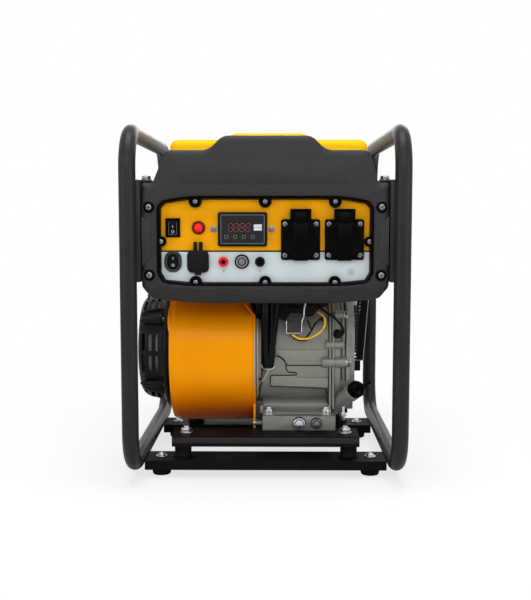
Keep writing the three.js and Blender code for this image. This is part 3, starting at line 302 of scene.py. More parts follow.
def prism(outline: Array, axis: Along, start: float, end: float, edge: float = 0.0, steps: int = 3) -> Skin:
    """An outline carried straight along an axis, with its end edges rounded.

    Near each end the outline is inset by edge * (1 - sin t) and lies edge * (1 - cos t) from that end.

    Args:
        outline: the cross-section.
        axis: the axis it is carried along.
        start: where it begins on the axis.
        end: where it ends on the axis.
        edge: the radius of the end edges.
        steps: rows on each rounded edge.

    Returns:
        The closed surface.
    """
    if edge <= 0:
        rows, places = [outline, outline], [start, end]
    else:
        t = np.linspace(0.0, math.pi / 2, steps + 1)
        turns = edge * (1 - np.sin(t))
        away = edge * (1 - np.cos(t))
        sign = 1.0 if end > start else -1.0
        rows = [inset(outline, value) for value in turns] + [inset(outline, value) for value in turns[::-1]]
        places = list(start + sign * away) + list(end - sign * away[::-1])
    return stacked(np.array(rows), np.array(places)[:, None], axis)


def rod(radius: float, middle: Pair, axis: Along, start: float, end: float, edge: float,
        sides: int = 18) -> Skin:
    """A round bar along an axis through a point of the plane across it."""
    return prism(circle(radius, sides) + middle, axis, start, end, edge)


def block(low: Sequence[float], high: Sequence[float], edge: float = 1.0) -> Skin:
    """A box between two corners with rounded edges, as a rounded rectangle carried along Z.

    Args:
        low: its lowest corner.
        high: its highest corner.
        edge: the radius of its edges.

    Returns:
        The surface.
    """
    (x0, y0, z0), (x1, y1, z1) = low, high
    outline = rounded_rectangle(x1 - x0, y1 - y0, edge, ((x0 + x1) / 2, (y0 + y1) / 2), 4)
    return prism(outline, Z, z0, z1, edge)


def lathe(profile: Sequence[Pair], axis: Along, centre: Pair = (0.0, 0.0), sides: int = 40,
          loop: bool = False) -> Skin:
    """A profile of (radius, place) turned about an axis through a point of the plane across it.

    Args:
        profile: the radius at each place along the axis.
        axis: the axis it turns about.
        centre: the axis's place in the plane across it.
        sides: steps round the axis.
        loop: the profile closes on itself, as on a ring.

    Returns:
        The surface.
    """
    shape = np.array(profile, float)
    turn = circle(1.0, sides)
    first = centre[0] + shape[:, :1] * turn[None, :, 0]
    second = centre[1] + shape[:, :1] * turn[None, :, 1]
    return grid(placed(first, second, shape[:, 1:], axis), loop=loop)


def sweep(section: Array, path: Array, closed: bool = False, up: Triple = (0, 0, 1),
          scale: Array | None = None) -> Skin:
    """A cross-section carried along a path, upright to the path's tangent.

    The section's second axis is the tangent crossed with up, and its first is that crossed with the tangent.

    Args:
        section: the cross-section's points.
        path: the points of the path.
        closed: the path closes on itself.
        up: a direction that no tangent is parallel to.
        scale: the size of the section at each point of the path.

    Returns:
        The surface.
    """
    if closed:
        tangent = np.roll(path, -1, 0) - np.roll(path, 1, 0)
    else:
        tangent = np.gradient(path, axis=0)
    tangent = unit_rows(tangent)
    second = unit_rows(np.cross(tangent, np.array(up, float)))
    first = np.cross(second, tangent)
    size = np.ones(len(path)) if scale is None else scale
    a, b = section[None, :, :1] * size[:, None, None], section[None, :, 1:] * size[:, None, None]
    return grid(path[:, None] + a * first[:, None] + b * second[:, None], loop=closed)


def smooth_path(stops: Sequence[Triple], count: int = 60) -> Array:
    """A smooth line through stops, by the uniform Catmull-Rom formula for all parameters at once.

    Args:
        stops: the points that it passes.
        count: how many points it is given.

    Returns:
        The line's points.
    """
    p = np.array(stops, float)
    p = np.vstack([2 * p[0] - p[1], p, 2 * p[-1] - p[-2]])
    u = np.linspace(0.0, len(stops) - 1 - 1e-9, count)
    i = np.floor(u).astype(int)
    t = (u - i)[:, None]
    a, b, c, d = (p[i + k] for k in range(4))
    return 0.5 * (2 * b + (c - a) * t + (2 * a - 5 * b + 4 * c - d) * t**2 + (3 * b - 3 * c + d - a) * t**3)


def cable(stops: Sequence[Triple], radius: float, up: Triple = (1, 0, 0), count: int = 60) -> Skin:
    """A round cable through stops."""
    return sweep(circle(radius, 12), smooth_path(stops, count), up=up)


def wire(stops: Sequence[Triple], radius: float, count: int) -> Skin:
    """A cable whose stops run across the front, where no part of it points along Y."""
    return cable(stops, radius, (0, 1, 0), count)


def hexagon(across: float) -> Array:
    """The outline of a hexagon, given its size across the flats."""
    return circle(across / math.sqrt(3), 6)


WASHER = 1.2
CROWN_SHARE = 0.44
CROWN_RISE = 0.35


def hex_bolt(axis: Along, at: Triple, across: float, height: float, outwards: float,
             washer: float = 0.0) -> Skin:
    """A bolt head or nut with its washer, on a face.

    Args:
        axis: the axis that it points along.
        at: the middle of its seat.
        across: size across the flats.
        height: height of the head.
        outwards: 1 or -1, which way along the axis it stands.
        washer: radius of the washer, or 0 for none.

    Returns:
        The surface.
    """
    place = at[axis.value]
    middle = [value for i, value in enumerate(at) if i != axis.value]
    thickness = WASHER if washer else 0.0
    parts = []
    if washer:
        parts.append(rod(washer, middle, axis, place, place + outwards * thickness, 0.3, 28))
    base = place + outwards * thickness
    parts.append(prism(hexagon(across) + middle, axis, base, base + outwards * height, 0.5, 2))
    parts.append(prism(circle(across * CROWN_SHARE, 24) + middle, axis, base + outwards * height * 0.5,
                       base + outwards * (height + CROWN_RISE), 0.4, 2))
    return joined(parts)


HEAD_SHARES = (1.0, 1.0, 0.97, 0.86, 0.7, 0.55, 0.42, 0.3, 0.2, 0.08)
HEAD_RISES = (0.0, 0.22, 0.36, 0.5, 0.58, 0.62, 0.63, 0.63, 0.63, 0.63)
CROSS_SHARE = 0.62
CROSS_SHARPNESS = 2.6
CROSS_DEPTH = 0.45


def pan_screw(axis: Along, at: Triple, radius: float, outwards: float, spin: float = 20.0) -> Skin:
    """A domed screw head with a cross recess.

    Its height is the rise at each share of the radius, less a groove where sin(2 (angle - spin)) is near 0.

    Args:
        axis: the axis that it points along.
        at: the middle of its seat.
        radius: radius of the head.
        outwards: 1 or -1, which way along the axis it stands.
        spin: how far the cross is turned, in degrees.

    Returns:
        The surface.
    """
    place = at[axis.value]
    middle = tuple(value for i, value in enumerate(at) if i != axis.value)
    turn = np.linspace(0.0, TURN, 48, endpoint=False)
    share, rise = np.array(HEAD_SHARES)[:, None], np.array(HEAD_RISES)[:, None]
    arm = np.abs(np.sin(2 * (turn[None, :] - math.radians(spin))))
    groove = np.clip(1 - arm * share * CROSS_SHARPNESS, 0, 1) * (share < CROSS_SHARE)
    sunk = np.clip(groove * 2.5, 0, 1) + (share < min(HEAD_SHARES) + 0.02)
    depth = radius * (rise - CROSS_DEPTH * sunk)
    first = middle[0] + radius * share * np.cos(turn)[None, :]
    second = middle[1] + radius * share * np.sin(turn)[None, :]
    return grid(placed(first, second, place + outwards * depth, axis))


def front_screws(places: Sequence[Pair], y: float, radius: float, spins: Sequence[float]) -> Skin:
    """Domed screws that face the operator, one at each place in (x, z)."""
    return joined([pan_screw(Y, (x, y, z), radius, -1.0, spin) for (x, z), spin in zip(places, spins)])


@dataclass(frozen=True)
class Extent:
    """The lowest and highest corners of a CAD node, in millimetres."""

    low: Array
    high: Array

    @classmethod
    def of(cls, node: str) -> "Extent":
        """The box round one node of the frame."""
        low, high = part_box(node)
        return cls(np.array(low) / MM, np.array(high) / MM)

    @property
    def middle(self) -> Array:
        """The middle of the box."""
        return (self.low + self.high) / 2

    @property
    def half(self) -> Array:
        """Half the size of the box."""
        return (self.high - self.low) / 2


# ---------------------------------------------------------------- shader expressions

Level = "Signal | float"


@dataclass(frozen=True)
class Signal:
    """A shader socket that takes part in arithmetic: each operator adds a Math node."""

    graph: "Graph"
    socket: bpy.types.NodeSocket

    def _math(self, operation: str, *values: Level) -> "Signal":
        """A Math node over this signal and others."""
        return self.graph.node("ShaderNodeMath", {"operation": operation}, dict(enumerate(values)))

    def __add__(self, other: Level) -> "Signal":
        """The sum of the two."""
        return self._math("ADD", self, other)

    __radd__ = __add__

    def __sub__(self, other: Level) -> "Signal":
        """This less the other."""
        return self._math("SUBTRACT", self, other)

    def __rsub__(self, other: float) -> "Signal":
        """The other less this."""
        return self._math("SUBTRACT", other, self)

    def __mul__(self, other: Level) -> "Signal":
        """The product of the two."""
        return self._math("MULTIPLY", self, other)

    __rmul__ = __mul__

    def __truediv__(self, other: Level) -> "Signal":
        """This over the other."""
        return self._math("DIVIDE", self, other)

    def __pow__(self, power: float) -> "Signal":
        """This to a power."""
        return self._math("POWER", self, power)

    def __gt__(self, level: Level) -> "Signal":
        """1 above a level, 0 below it."""
        return self._math("GREATER_THAN", self, level)

    def __abs__(self) -> "Signal":
        """The size without the sign."""
        return self._math("ABSOLUTE", self)

    def most(self, other: Level) -> "Signal":
        """The larger of the two."""
        return self._math("MAXIMUM", self, other)

    def folded(self, half: float) -> "Signal":
        """The distance to the nearest whole multiple of twice a half pitch."""
        return self._math("PINGPONG", self, half)

    def sine(self) -> "Signal":
        """The sine of the signal."""
        return self._math("SINE", self)

    def between(self, low: float, high: float) -> "Signal":
        """0 below low, 1 above high, and a smooth step in between."""
        return self.graph.node("ShaderNodeMapRange", {"interpolation_type": "SMOOTHSTEP"},
                               {"Value": self, "From Min": low, "From Max": high})


@dataclass
class Graph:
    """The node graph of one material or world."""

    material: bpy.types.Material | bpy.types.World
    _object: bpy.types.NodeSocket | None = None

    def node(self, kind: str, settings: dict | None = None, inputs: dict | None = None,
             output: str | int = 0) -> Signal:
        """Adds a node.

        Args:
            kind: the node's type.
            settings: its own settings, set before its sockets.
            inputs: the value or signal of each socket, by name or number.
            output: the name or number of the socket to hand back.

        Returns:
            That output as a signal.
        """
        made = self.material.node_tree.nodes.new(kind)
        for key, value in (settings or {}).items():
            setattr(made, key, value)
        for key, value in (inputs or {}).items():
            socket = made.inputs[key]
            if isinstance(value, Signal):
                self.material.node_tree.links.new(value.socket, socket)
            elif isinstance(value, tuple) and len(value) == 3 and socket.type == "RGBA":
                socket.default_value = (*value, 1.0)
            else:
                socket.default_value = value
        return Signal(self, made.outputs[output])

    def place(self, stretch: Triple = (1.0, 1.0, 1.0)) -> Signal:
        """Object coordinates in metres, stretched along the row axes.

        Args:
            stretch: how much finer a pattern becomes along each axis.

        Returns:
            The coordinates.
        """
        if self._object is None:
            self._object = self.node("ShaderNodeTexCoord", output="Object").socket
        start = Signal(self, self._object)
        if stretch == (1.0, 1.0, 1.0):
            return start
        return self.node("ShaderNodeMapping", {}, {"Vector": start, "Scale": stretch})

    def axis(self, along: Along) -> Signal:
        """One object coordinate, in millimetres."""
        return self.node("ShaderNodeSeparateXYZ", {}, {0: self.place()}, along.value) * 1000.0

    def noise(self, scale: float, detail: float = 3.0, rough: float = 0.55,
              stretch: Triple = (1.0, 1.0, 1.0)) -> Signal:
        """Fractal noise about 0.5, with scale cells to the metre."""
        return self.node("ShaderNodeTexNoise", {}, {"Vector": self.place(stretch), "Scale": scale,
                                                    "Detail": detail, "Roughness": rough})

    def cells(self, scale: float) -> Signal:
        """Distance to the nearest of scattered points, scale points to the metre."""
        return self.node("ShaderNodeTexVoronoi", {}, {"Vector": self.place(), "Scale": scale}, "Distance")

    def upward(self) -> Signal:
        """How far the surface faces up, from -1 to 1."""
        normal = self.node("ShaderNodeNewGeometry", output="Normal")
        return self.node("ShaderNodeSeparateXYZ", {}, {0: normal}, 2)

    def blend(self, share: Signal, first: "Signal | Colour", second: "Signal | Colour") -> Signal:
        """A colour that goes from the first to the second as share goes from 0 to 1."""
        return self.node("ShaderNodeMix", {"data_type": "RGBA"}, {0: share, 6: first, 7: second}, 2)

    def bump(self, height: Signal, strength: float, distance: float) -> Signal:
        """A normal bent by a height, whose full swing is a distance in metres."""
        return self.node("ShaderNodeBump", {}, {"Strength": strength, "Distance": distance, "Height": height})

    def finish_with(self, shader: Signal, kind: str = "Material") -> None:
        """Links a shader to a new output node."""
        out = self.material.node_tree.nodes.new(f"ShaderNodeOutput{kind}")
        self.material.node_tree.links.new(shader.socket, out.inputs["Surface"])


# ---------------------------------------------------------------- finishes

WHITE = (1.0, 1.0, 1.0)
BARE = 0.5


def grey(level: float) -> Colour:
    """A neutral colour."""
    return (level, level, level)


@dataclass(frozen=True)
class Finish:
    """What a surface is made of. A subclass draws it into a graph.

    Attributes:
        name: the material's name.
        slot: the record's material slot.
        colour: the main colour, linear.
        rough: the main roughness.
        gloss: how strongly the bare surface mirrors, as the specular level.
    """

    name: str
    slot: str
    colour: Colour
    rough: float
    gloss: float = field(default=0.15, kw_only=True)

    def draw(self, graph: Graph) -> None:
        """Adds the nodes of the finish to a graph."""
        raise NotImplementedError

    def material(self) -> bpy.types.Material:
        """Makes the finish's material at its first use.

        Returns:
            The material.
        """
        found = bpy.data.materials.get(self.name)
        if found:
            return found
        made = bpy.data.materials.new(self.name)
        made.use_nodes = True
        made.node_tree.nodes.clear()
        self.draw(Graph(made))
        return made

    def lay(self, graph: Graph, colour: Signal, rough: Signal, more: dict) -> None:
        """The principled shader as the material's surface: more holds its other sockets."""
        inputs = {"Base Color": colour, "Roughness": rough, "Specular IOR Level": self.gloss, **more}
        graph.finish_with(graph.node("ShaderNodeBsdfPrincipled", {}, inputs))

    def shade(self, factor: float) -> Colour:
        """The main colour, lighter or darker by a factor."""
        return tuple(min(1.0, part * factor) for part in self.colour)


@dataclass(frozen=True)
class PowderCoat(Finish):
    """Satin powder coat: an orange-peel skin, faint scuffs and a little dust on what faces up."""

    dust: Colour = (0.16, 0.155, 0.145)

    def draw(self, graph: Graph) -> None:
        """Adds the coat's nodes.

        Args:
            graph: the material's graph.
        """
        peel = graph.noise(950, 2)
        drift = graph.noise(18, 4)
        scuff = graph.noise(60, 6, 0.7, (1.0, 1.0, 5.0)).between(0.63, 0.72)
        dust = (graph.upward() * graph.noise(40, 5)).between(0.42, 0.75)
        base = graph.blend(drift, self.shade(0.8), self.shade(1.25))
        worn = graph.blend(scuff * 0.25, base, self.shade(2.4))
        colour = graph.blend(dust * 0.07, worn, self.dust)
        rough = drift * 0.12 + scuff * 0.1 + dust * 0.1 + (self.rough - 0.06)
        self.lay(graph, colour, rough, {"Normal": graph.bump(peel, 0.2, 0.0002)})


@dataclass(frozen=True)
class Moulding(Finish):
    """Moulded plastic with a spark-eroded grain, rubbed smoother in patches."""

    grain: float = 1500.0
    depth: float = 0.35
    dust: Colour = (0.17, 0.165, 0.155)

    def draw(self, graph: Graph) -> None:
        """Adds the moulding's nodes.

        Args:
            graph: the material's graph.
        """
        fine = graph.noise(self.grain, 3, 0.7)
        drift = graph.noise(14, 4)
        rubbed = graph.noise(35, 5, 0.65).between(0.58, 0.7)
        dust = (graph.upward() * graph.noise(55, 5)).between(0.4, 0.8)
        base = graph.blend(drift, self.shade(0.9), self.shade(1.12))
        speck = graph.blend((fine.between(0.5, 0.75)) * 0.3, base, self.shade(1.6))
        colour = graph.blend(dust * 0.05, speck, self.dust)
        rough = drift * 0.1 - rubbed * 0.07 + fine * 0.08 + (self.rough - 0.06)
        self.lay(graph, colour, rough, {"Normal": graph.bump(fine, self.depth, 0.00025)})


@dataclass(frozen=True)
class GlossPaint(Finish):
    """Sprayed enamel: faint orange peel, a painted shade of deeper colour where it faces up or down, with
    fine dust nibs and grime.
    """

    # The deep colour of the painted shade on faces that turn up or down; the grime takes it too.
    deep: Colour = (0.3, 0.1, 0.0)
    turned: Pair = (0.25, 0.95)

    def draw(self, graph: Graph) -> None:
        """Adds the paint's nodes.

        Args:
            graph: the material's graph.
        """
        peel = graph.noise(260, 2)
        drift = graph.noise(9, 3)
        nibs = 1 - graph.cells(420).between(0.03, 0.09)
        grime = graph.noise(45, 7, 0.72).between(0.62, 0.8)
        base = graph.blend(drift.between(0.3, 0.7), self.shade(0.96), self.shade(1.03))
        # Painted shade: the colour deepens as the surface turns to face up or down.
        painted_shade = abs(graph.upward()).between(*self.turned)
        colour = graph.blend(grime * 0.1, graph.blend(painted_shade, base, self.deep), self.deep)
        rough = drift * 0.08 + grime * 0.15 + (self.rough - 0.04)
        skin = graph.bump(peel + nibs * 0.3, 0.1, 0.0003)
        self.lay(graph, colour, rough, {"Coat Weight": 0.05, "Coat Roughness": 0.12, "Normal": skin})


@dataclass(frozen=True)
class CastMetal(Finish):
    """Shot-blasted casting: a pebbled skin, darker in its pits, with streaks of a thin film of oil and dust.
    """

    metal: float = 0.3
    oil: Colour = (0.07, 0.062, 0.05)

    def draw(self, graph: Graph) -> None:
        """Adds the casting's nodes.

        Args:
            graph: the material's graph.
        """
        pebble = graph.noise(720, 4, 0.7)
        pits = graph.cells(900)
        drift = graph.noise(16, 5, 0.6)
        stain = graph.noise(30, 6, 0.7, (1.0, 1.0, 0.5)).between(0.58, 0.78)
        base = graph.blend(pebble.between(0.3, 0.7), self.shade(0.82), self.shade(1.12))
        mid = graph.blend(drift.between(0.35, 0.7) * 0.4, base, self.shade(0.85))
        colour = graph.blend(stain * 0.22, mid, self.oil)
        rough = pebble * 0.2 + stain * 0.1 + (self.rough - 0.1)
        skin = graph.bump(pebble + pits * 0.6, 0.35, 0.0004)
        self.lay(graph, colour, rough, {"Metallic": self.metal, "Normal": skin})


@dataclass(frozen=True)
class BrightMetal(Finish):
    """Plated or machined steel: fine turning marks, a faint tarnish and brighter rubbed patches."""

    tint: Colour = (0.5, 0.47, 0.38)

    def draw(self, graph: Graph) -> None:
        """Adds the metal's nodes.

        Args:
            graph: the material's graph.
        """
        marks = graph.noise(500, 3, 0.6, (1.0, 1.0, 7.0))
        tarnish = graph.noise(120, 5, 0.65).between(0.5, 0.72)
        colour = graph.blend(tarnish * 0.6, self.colour, self.tint)
        rough = marks * 0.2 + tarnish * 0.15 + (self.rough - 0.1)
        metal = {"Metallic": 1.0, "Specular IOR Level": BARE, "Normal": graph.bump(marks, 0.1, 0.0002)}
        self.lay(graph, colour, rough, metal)


@dataclass(frozen=True)
class Rubber(Finish):
    """Matt black rubber with a bloom that greys what faces up."""

    bloom: Colour = (0.07, 0.068, 0.062)

    def draw(self, graph: Graph) -> None:
        """Adds the rubber's nodes.

        Args:
            graph: the material's graph.
        """
        skin = graph.noise(640, 4, 0.65)
        bloom = graph.noise(38, 5).between(0.45, 0.75) * graph.upward().between(-0.2, 0.9)
        base = graph.blend(skin, self.shade(0.7), self.shade(1.4))
        colour = graph.blend(bloom * 0.15, base, self.bloom)
        rough = skin * 0.12 + (self.rough - 0.06)
        self.lay(graph, colour, rough, {"Normal": graph.bump(skin, 0.3, 0.0003)})


@dataclass(frozen=True)
class PanelPrint(Finish):
    """The control panel's sheet: yellow above, light grey below, with a printed black line between.

    Attributes:
        lower: the light grey.
        divide: height of the line, in millimetres.
        line: half the line's width.
        ink: the line's black.
        grime: what hands leave on the sheet.
    """

    lower: Colour = (0.54, 0.6, 0.62)
    divide: float = 311.4
    line: float = 0.9
    ink: Colour = grey(0.012)
    grime: Colour = (0.12, 0.1, 0.07)

    def draw(self, graph: Graph) -> None:
        """Adds the print's nodes.

        Args:
            graph: the material's graph.
        """
        height = graph.axis(Z)
        above = (height - self.divide).between(-0.15, 0.15)
        stroke = 1 - abs(height - self.divide).between(self.line, self.line + 0.3)
        weave = graph.noise(900, 2)
        drift = graph.noise(22, 4)
        upper = graph.blend(drift, self.shade(0.92), self.shade(1.06))
        lower = graph.blend(drift, self.lower, tuple(part * 0.93 for part in self.lower))
        sheet = graph.blend(above, lower, upper)
        smudge = graph.noise(48, 6, 0.7).between(0.6, 0.8)
        inked = graph.blend(stroke, sheet, self.ink)
        colour = graph.blend(smudge * 0.06, inked, self.grime)
        rough = weave * 0.12 + smudge * 0.12 + (self.rough - 0.06)
        self.lay(graph, colour, rough, {"Normal": graph.bump(weave, 0.08, 0.0002)})


@dataclass(frozen=True)
class Lens(Finish):
    """Clear coloured plastic lit a little from within, with moulded flutes."""

    glow: float = 0.25

    def draw(self, graph: Graph) -> None:
        """Adds the lens's nodes.

        Args:
            graph: the material's graph.
        """
        swirl = graph.noise(300, 2)
        colour = graph.blend(swirl, self.shade(0.8), self.shade(1.2))
        glow = {"Emission Color": colour, "Emission Strength": self.glow}
        self.lay(graph, colour, swirl * 0.05 + self.rough, glow)


@dataclass(frozen=True)
class Winding(Finish):
    """Lacquered copper wire laid side by side round the alternator's axis."""

    wire: float = 1.1

    def draw(self, graph: Graph) -> None:
        """Adds the winding's nodes.

        Args:
            graph: the material's graph.
        """
        turns = (graph.axis(X) * (TURN / self.wire)).sine()
        drift = graph.noise(70, 4)
        colour = graph.blend(turns.between(-1.0, 0.6), self.shade(0.45), self.shade(1.1))
        metal = {"Metallic": 0.8, "Specular IOR Level": BARE, "Normal": graph.bump(turns, 0.5, 0.0004)}
        self.lay(graph, colour, drift * 0.15 + (self.rough - 0.05), metal)


@dataclass(frozen=True)
class Perforated(PowderCoat):
    """Powder-coated sheet pierced with round holes in square rows.

    Attributes:
        pitch: from hole to hole, in millimetres.
        hole: radius of a hole, in millimetres.
    """

    pitch: float = 5.8
    hole: float = 1.8

    def draw(self, graph: Graph) -> None:
        """Adds the coat's nodes with the holes as its transparency.

        Args:
            graph: the material's graph.
        """
        rows = [graph.axis(along).folded(self.pitch / 2) for along in Along]
        normal = graph.node("ShaderNodeNewGeometry", output="Normal")
        sideways = abs(graph.node("ShaderNodeSeparateXYZ", {}, {0: normal}, 0)) > 0.7
        across = rows[0] * (1 - sideways) + rows[1] * sideways
        clear = (across * across + rows[2] * rows[2]) > self.hole ** 2
        colour = graph.blend(graph.noise(18, 4), self.shade(0.8), self.shade(1.25))
        self.lay(graph, colour, graph.noise(60, 3) * 0.1 + self.rough, {"Alpha": clear})


@dataclass(frozen=True)
class Sweep(Finish):
    """A pale floor that runs out into plain white away from the object, and keeps the object's shadow."""

    near: float = 0.30
    far: float = 0.75
    share: float = 0.72

    def draw(self, graph: Graph) -> None:
        """Adds the floor's nodes.

        Args:
            graph: the material's graph.
        """
        x, y = graph.axis(X) * MM, graph.axis(Y) * MM
        away = ((x * x + y * y) ** 0.5).between(self.near, self.far)
        seen = graph.node("ShaderNodeLightPath", output="Is Camera Ray")
        matt = {"Base Color": self.colour, "Roughness": self.rough, "Specular IOR Level": self.gloss}
        dull = graph.node("ShaderNodeBsdfPrincipled", {}, matt)
        white = graph.node("ShaderNodeEmission", {}, {"Color": (*WHITE, 1.0), "Strength": 1.0})
        share = seen * (away * (1 - self.share) + self.share)
        graph.finish_with(graph.node("ShaderNodeMixShader", {}, {0: share, 1: dull, 2: white}))


FRAME_BLACK = PowderCoat("frame_black_powder_coat", "frame_black", (0.0155, 0.0155, 0.0158), 0.36, gloss=0.12)
# A darker copy of the frame's powder coat for the base, cradle, washers, rear cross member and guard margin:
# painted shade.
SHADE_DARKENED_BLACK = PowderCoat("guard_black_powder_coat", "frame_black", grey(0.0055), 0.5, gloss=0.025)
PIERCED_BLACK = Perforated("pierced_black_sheet", "frame_black", grey(0.014), 0.45, gloss=0.1)
FASCIA_PLASTIC = Moulding("fascia_grained_plastic", "black_plastic", (0.015, 0.015, 0.0145), 0.4, 330.0, 2.6,
                          gloss=0.19)
SMOOTH_PLASTIC = Moulding("smooth_black_plastic", "black_plastic", grey(0.003), 0.34, 900.0, 0.12, gloss=0.07)
STARTER_PLASTIC = Moulding("starter_black_plastic", "black_plastic", grey(0.004), 0.34, 1100.0, 0.2,
                           gloss=0.09)
OUTLET_PLASTIC = Moulding("outlet_polished_plastic", "gloss_black", grey(0.0012), 0.25, 700.0, 0.05,
                          gloss=0.03)
FOOT_RUBBER = Rubber("foot_rubber", "rubber", grey(0.007), 0.55, gloss=0.05)
COVER_RUBBER = Rubber("cover_rubber", "rubber", (0.004, 0.0045, 0.005), 0.5, gloss=0.07)
HOSE_RUBBER = Rubber("hose_rubber", "rubber", (0.005, 0.005, 0.006), 0.45, gloss=0.1)
SLEEVE_GLOSS = Rubber("sleeve_glossy_pvc", "rubber", (0.0025, 0.0025, 0.003), 0.14, gloss=0.1)
# Each enamel's fifth value is the deep colour of its painted shade and grime; the shroud's sixth sets where
# that shade starts.
SHROUD_PAINT = GlossPaint("shroud_amber_enamel", "amber_paint", (0.86, 0.30, 0.0), 0.30, (0.48, 0.085, 0.0),
                          (0.15, 0.9), gloss=0.03)
TANK_PAINT = GlossPaint("tank_yellow_enamel", "yellow_plastic", (1.0, 0.56, 0.0), 0.36, (0.9, 0.42, 0.0),
                        gloss=0.04)
PANEL_PRINT = PanelPrint("panel_two_colour_print", "panel_yellow", (0.72, 0.305, 0.002), 0.42, gloss=0.05)
CASTING = CastMetal("engine_casting", "cast_aluminium", (0.215, 0.218, 0.192), 0.46, gloss=0.22)
# A lighter copy of the engine casting: painted highlight on the bell ring and the shroud's rim, and the
# bright metal of the harness clip.
PALE_CAST_AND_HIGHLIGHT = CastMetal("bell_ring_casting", "cast_aluminium", (0.36, 0.37, 0.35), 0.42, gloss=0.25)
# A dark bead finish: painted shade along grooves and the edges of raised flats.
PAINTED_SHADE_LINE = Moulding("casting_parting_line", "cast_aluminium", (0.022, 0.021, 0.018), 0.6, 900.0, 0.1,
                  gloss=0.05)
MACHINED = BrightMetal("machined_steel", "steel", (0.4, 0.4, 0.38), 0.34)
ZINC = BrightMetal("zinc_plated_fastener", "steel", (0.46, 0.48, 0.49), 0.27, (0.34, 0.31, 0.22))
DARK_ZINC = BrightMetal("dull_zinc_fastener", "steel", (0.23, 0.235, 0.24), 0.36, (0.16, 0.15, 0.12))
BLUE_ZINC = BrightMetal("blue_zinc_fastener", "steel", (0.125, 0.15, 0.165), 0.36, (0.07, 0.09, 0.10))
DARK_STEEL = BrightMetal("heat_darkened_steel", "steel", (0.045, 0.042, 0.04), 0.45, (0.025, 0.022, 0.02))
COPPER = Winding("stator_winding", "winding", (0.55, 0.22, 0.09), 0.35)
RED_LENS = Lens("red_lamp_lens", "red_plastic", (0.62, 0.003, 0.006), 0.14, gloss=0.3)
LENS_RIM = Moulding("lamp_maroon_rim", "red_plastic", (0.05, 0.002, 0.003), 0.3, 700.0, 0.05, gloss=0.2)
RED_PLASTIC = Moulding("red_terminal_plastic", "red_plastic", (0.60, 0.008, 0.02), 0.3, 700.0, 0.05,
                       gloss=0.2)
METER_FACE = Moulding("meter_tinted_window", "black_plastic", (0.014, 0.015, 0.016), 0.14, 600.0, 0.02,
                      gloss=0.12)
DIGIT = Lens("meter_digit_segment", "red_plastic", (0.15, 0.07, 0.07), 0.3, 0.02, gloss=0.05)
PRINT_WHITE = Moulding("white_print", "black_plastic", (0.55, 0.56, 0.56), 0.5, 900.0, 0.03)
PRINT_BLACK = Moulding("black_print", "black_plastic", grey(0.012), 0.5, 900.0, 0.03, gloss=0.05)
YELLOW_WIRE = Moulding("yellow_wire_insulation", "yellow_plastic", (0.85, 0.50, 0.03), 0.35, 600.0, 0.05,
                       gloss=0.2)
HOUSING_PLASTIC = Moulding("housing_plastic", "black_plastic", grey(0.007), 0.5, 1200.0, 0.3, gloss=0.08)
BUTTON_GREY = Moulding("button_grey_plastic", "black_plastic", (0.13, 0.138, 0.145), 0.4, 800.0, 0.1)
REGULATOR_CASE = Moulding("regulator_case", "black_plastic", grey(0.045), 0.55, 420.0, 0.9, gloss=0.1)
DISPLAY_GLASS = Moulding("display_glass", "black_plastic", (0.020, 0.006, 0.007), 0.12, 600.0, 0.02,
                         gloss=0.15)
PALE_FLOOR = Sweep("pale_floor", "", grey(0.86), 0.9, gloss=0.0)


# ---------------------------------------------------------------- pieces


def cleaned(mesh: bpy.types.Mesh, same: float, flat: float = 0.0) -> None:
    """Merges a mesh's equal points and turns its faces outwards.

    Args:
        mesh: the mesh.
        same: how close equal points are, in metres.
        flat: the angle below which neighbouring faces become one, or 0 for none.
    """
    work = bmesh.new()
    work.from_mesh(mesh)
    bmesh.ops.remove_doubles(work, verts=work.verts, dist=same)
    if flat:
        bmesh.ops.dissolve_limit(work, angle_limit=flat, verts=work.verts, edges=work.edges)
    bmesh.ops.recalc_face_normals(work, faces=work.faces)
    work.to_mesh(mesh)
    work.free()


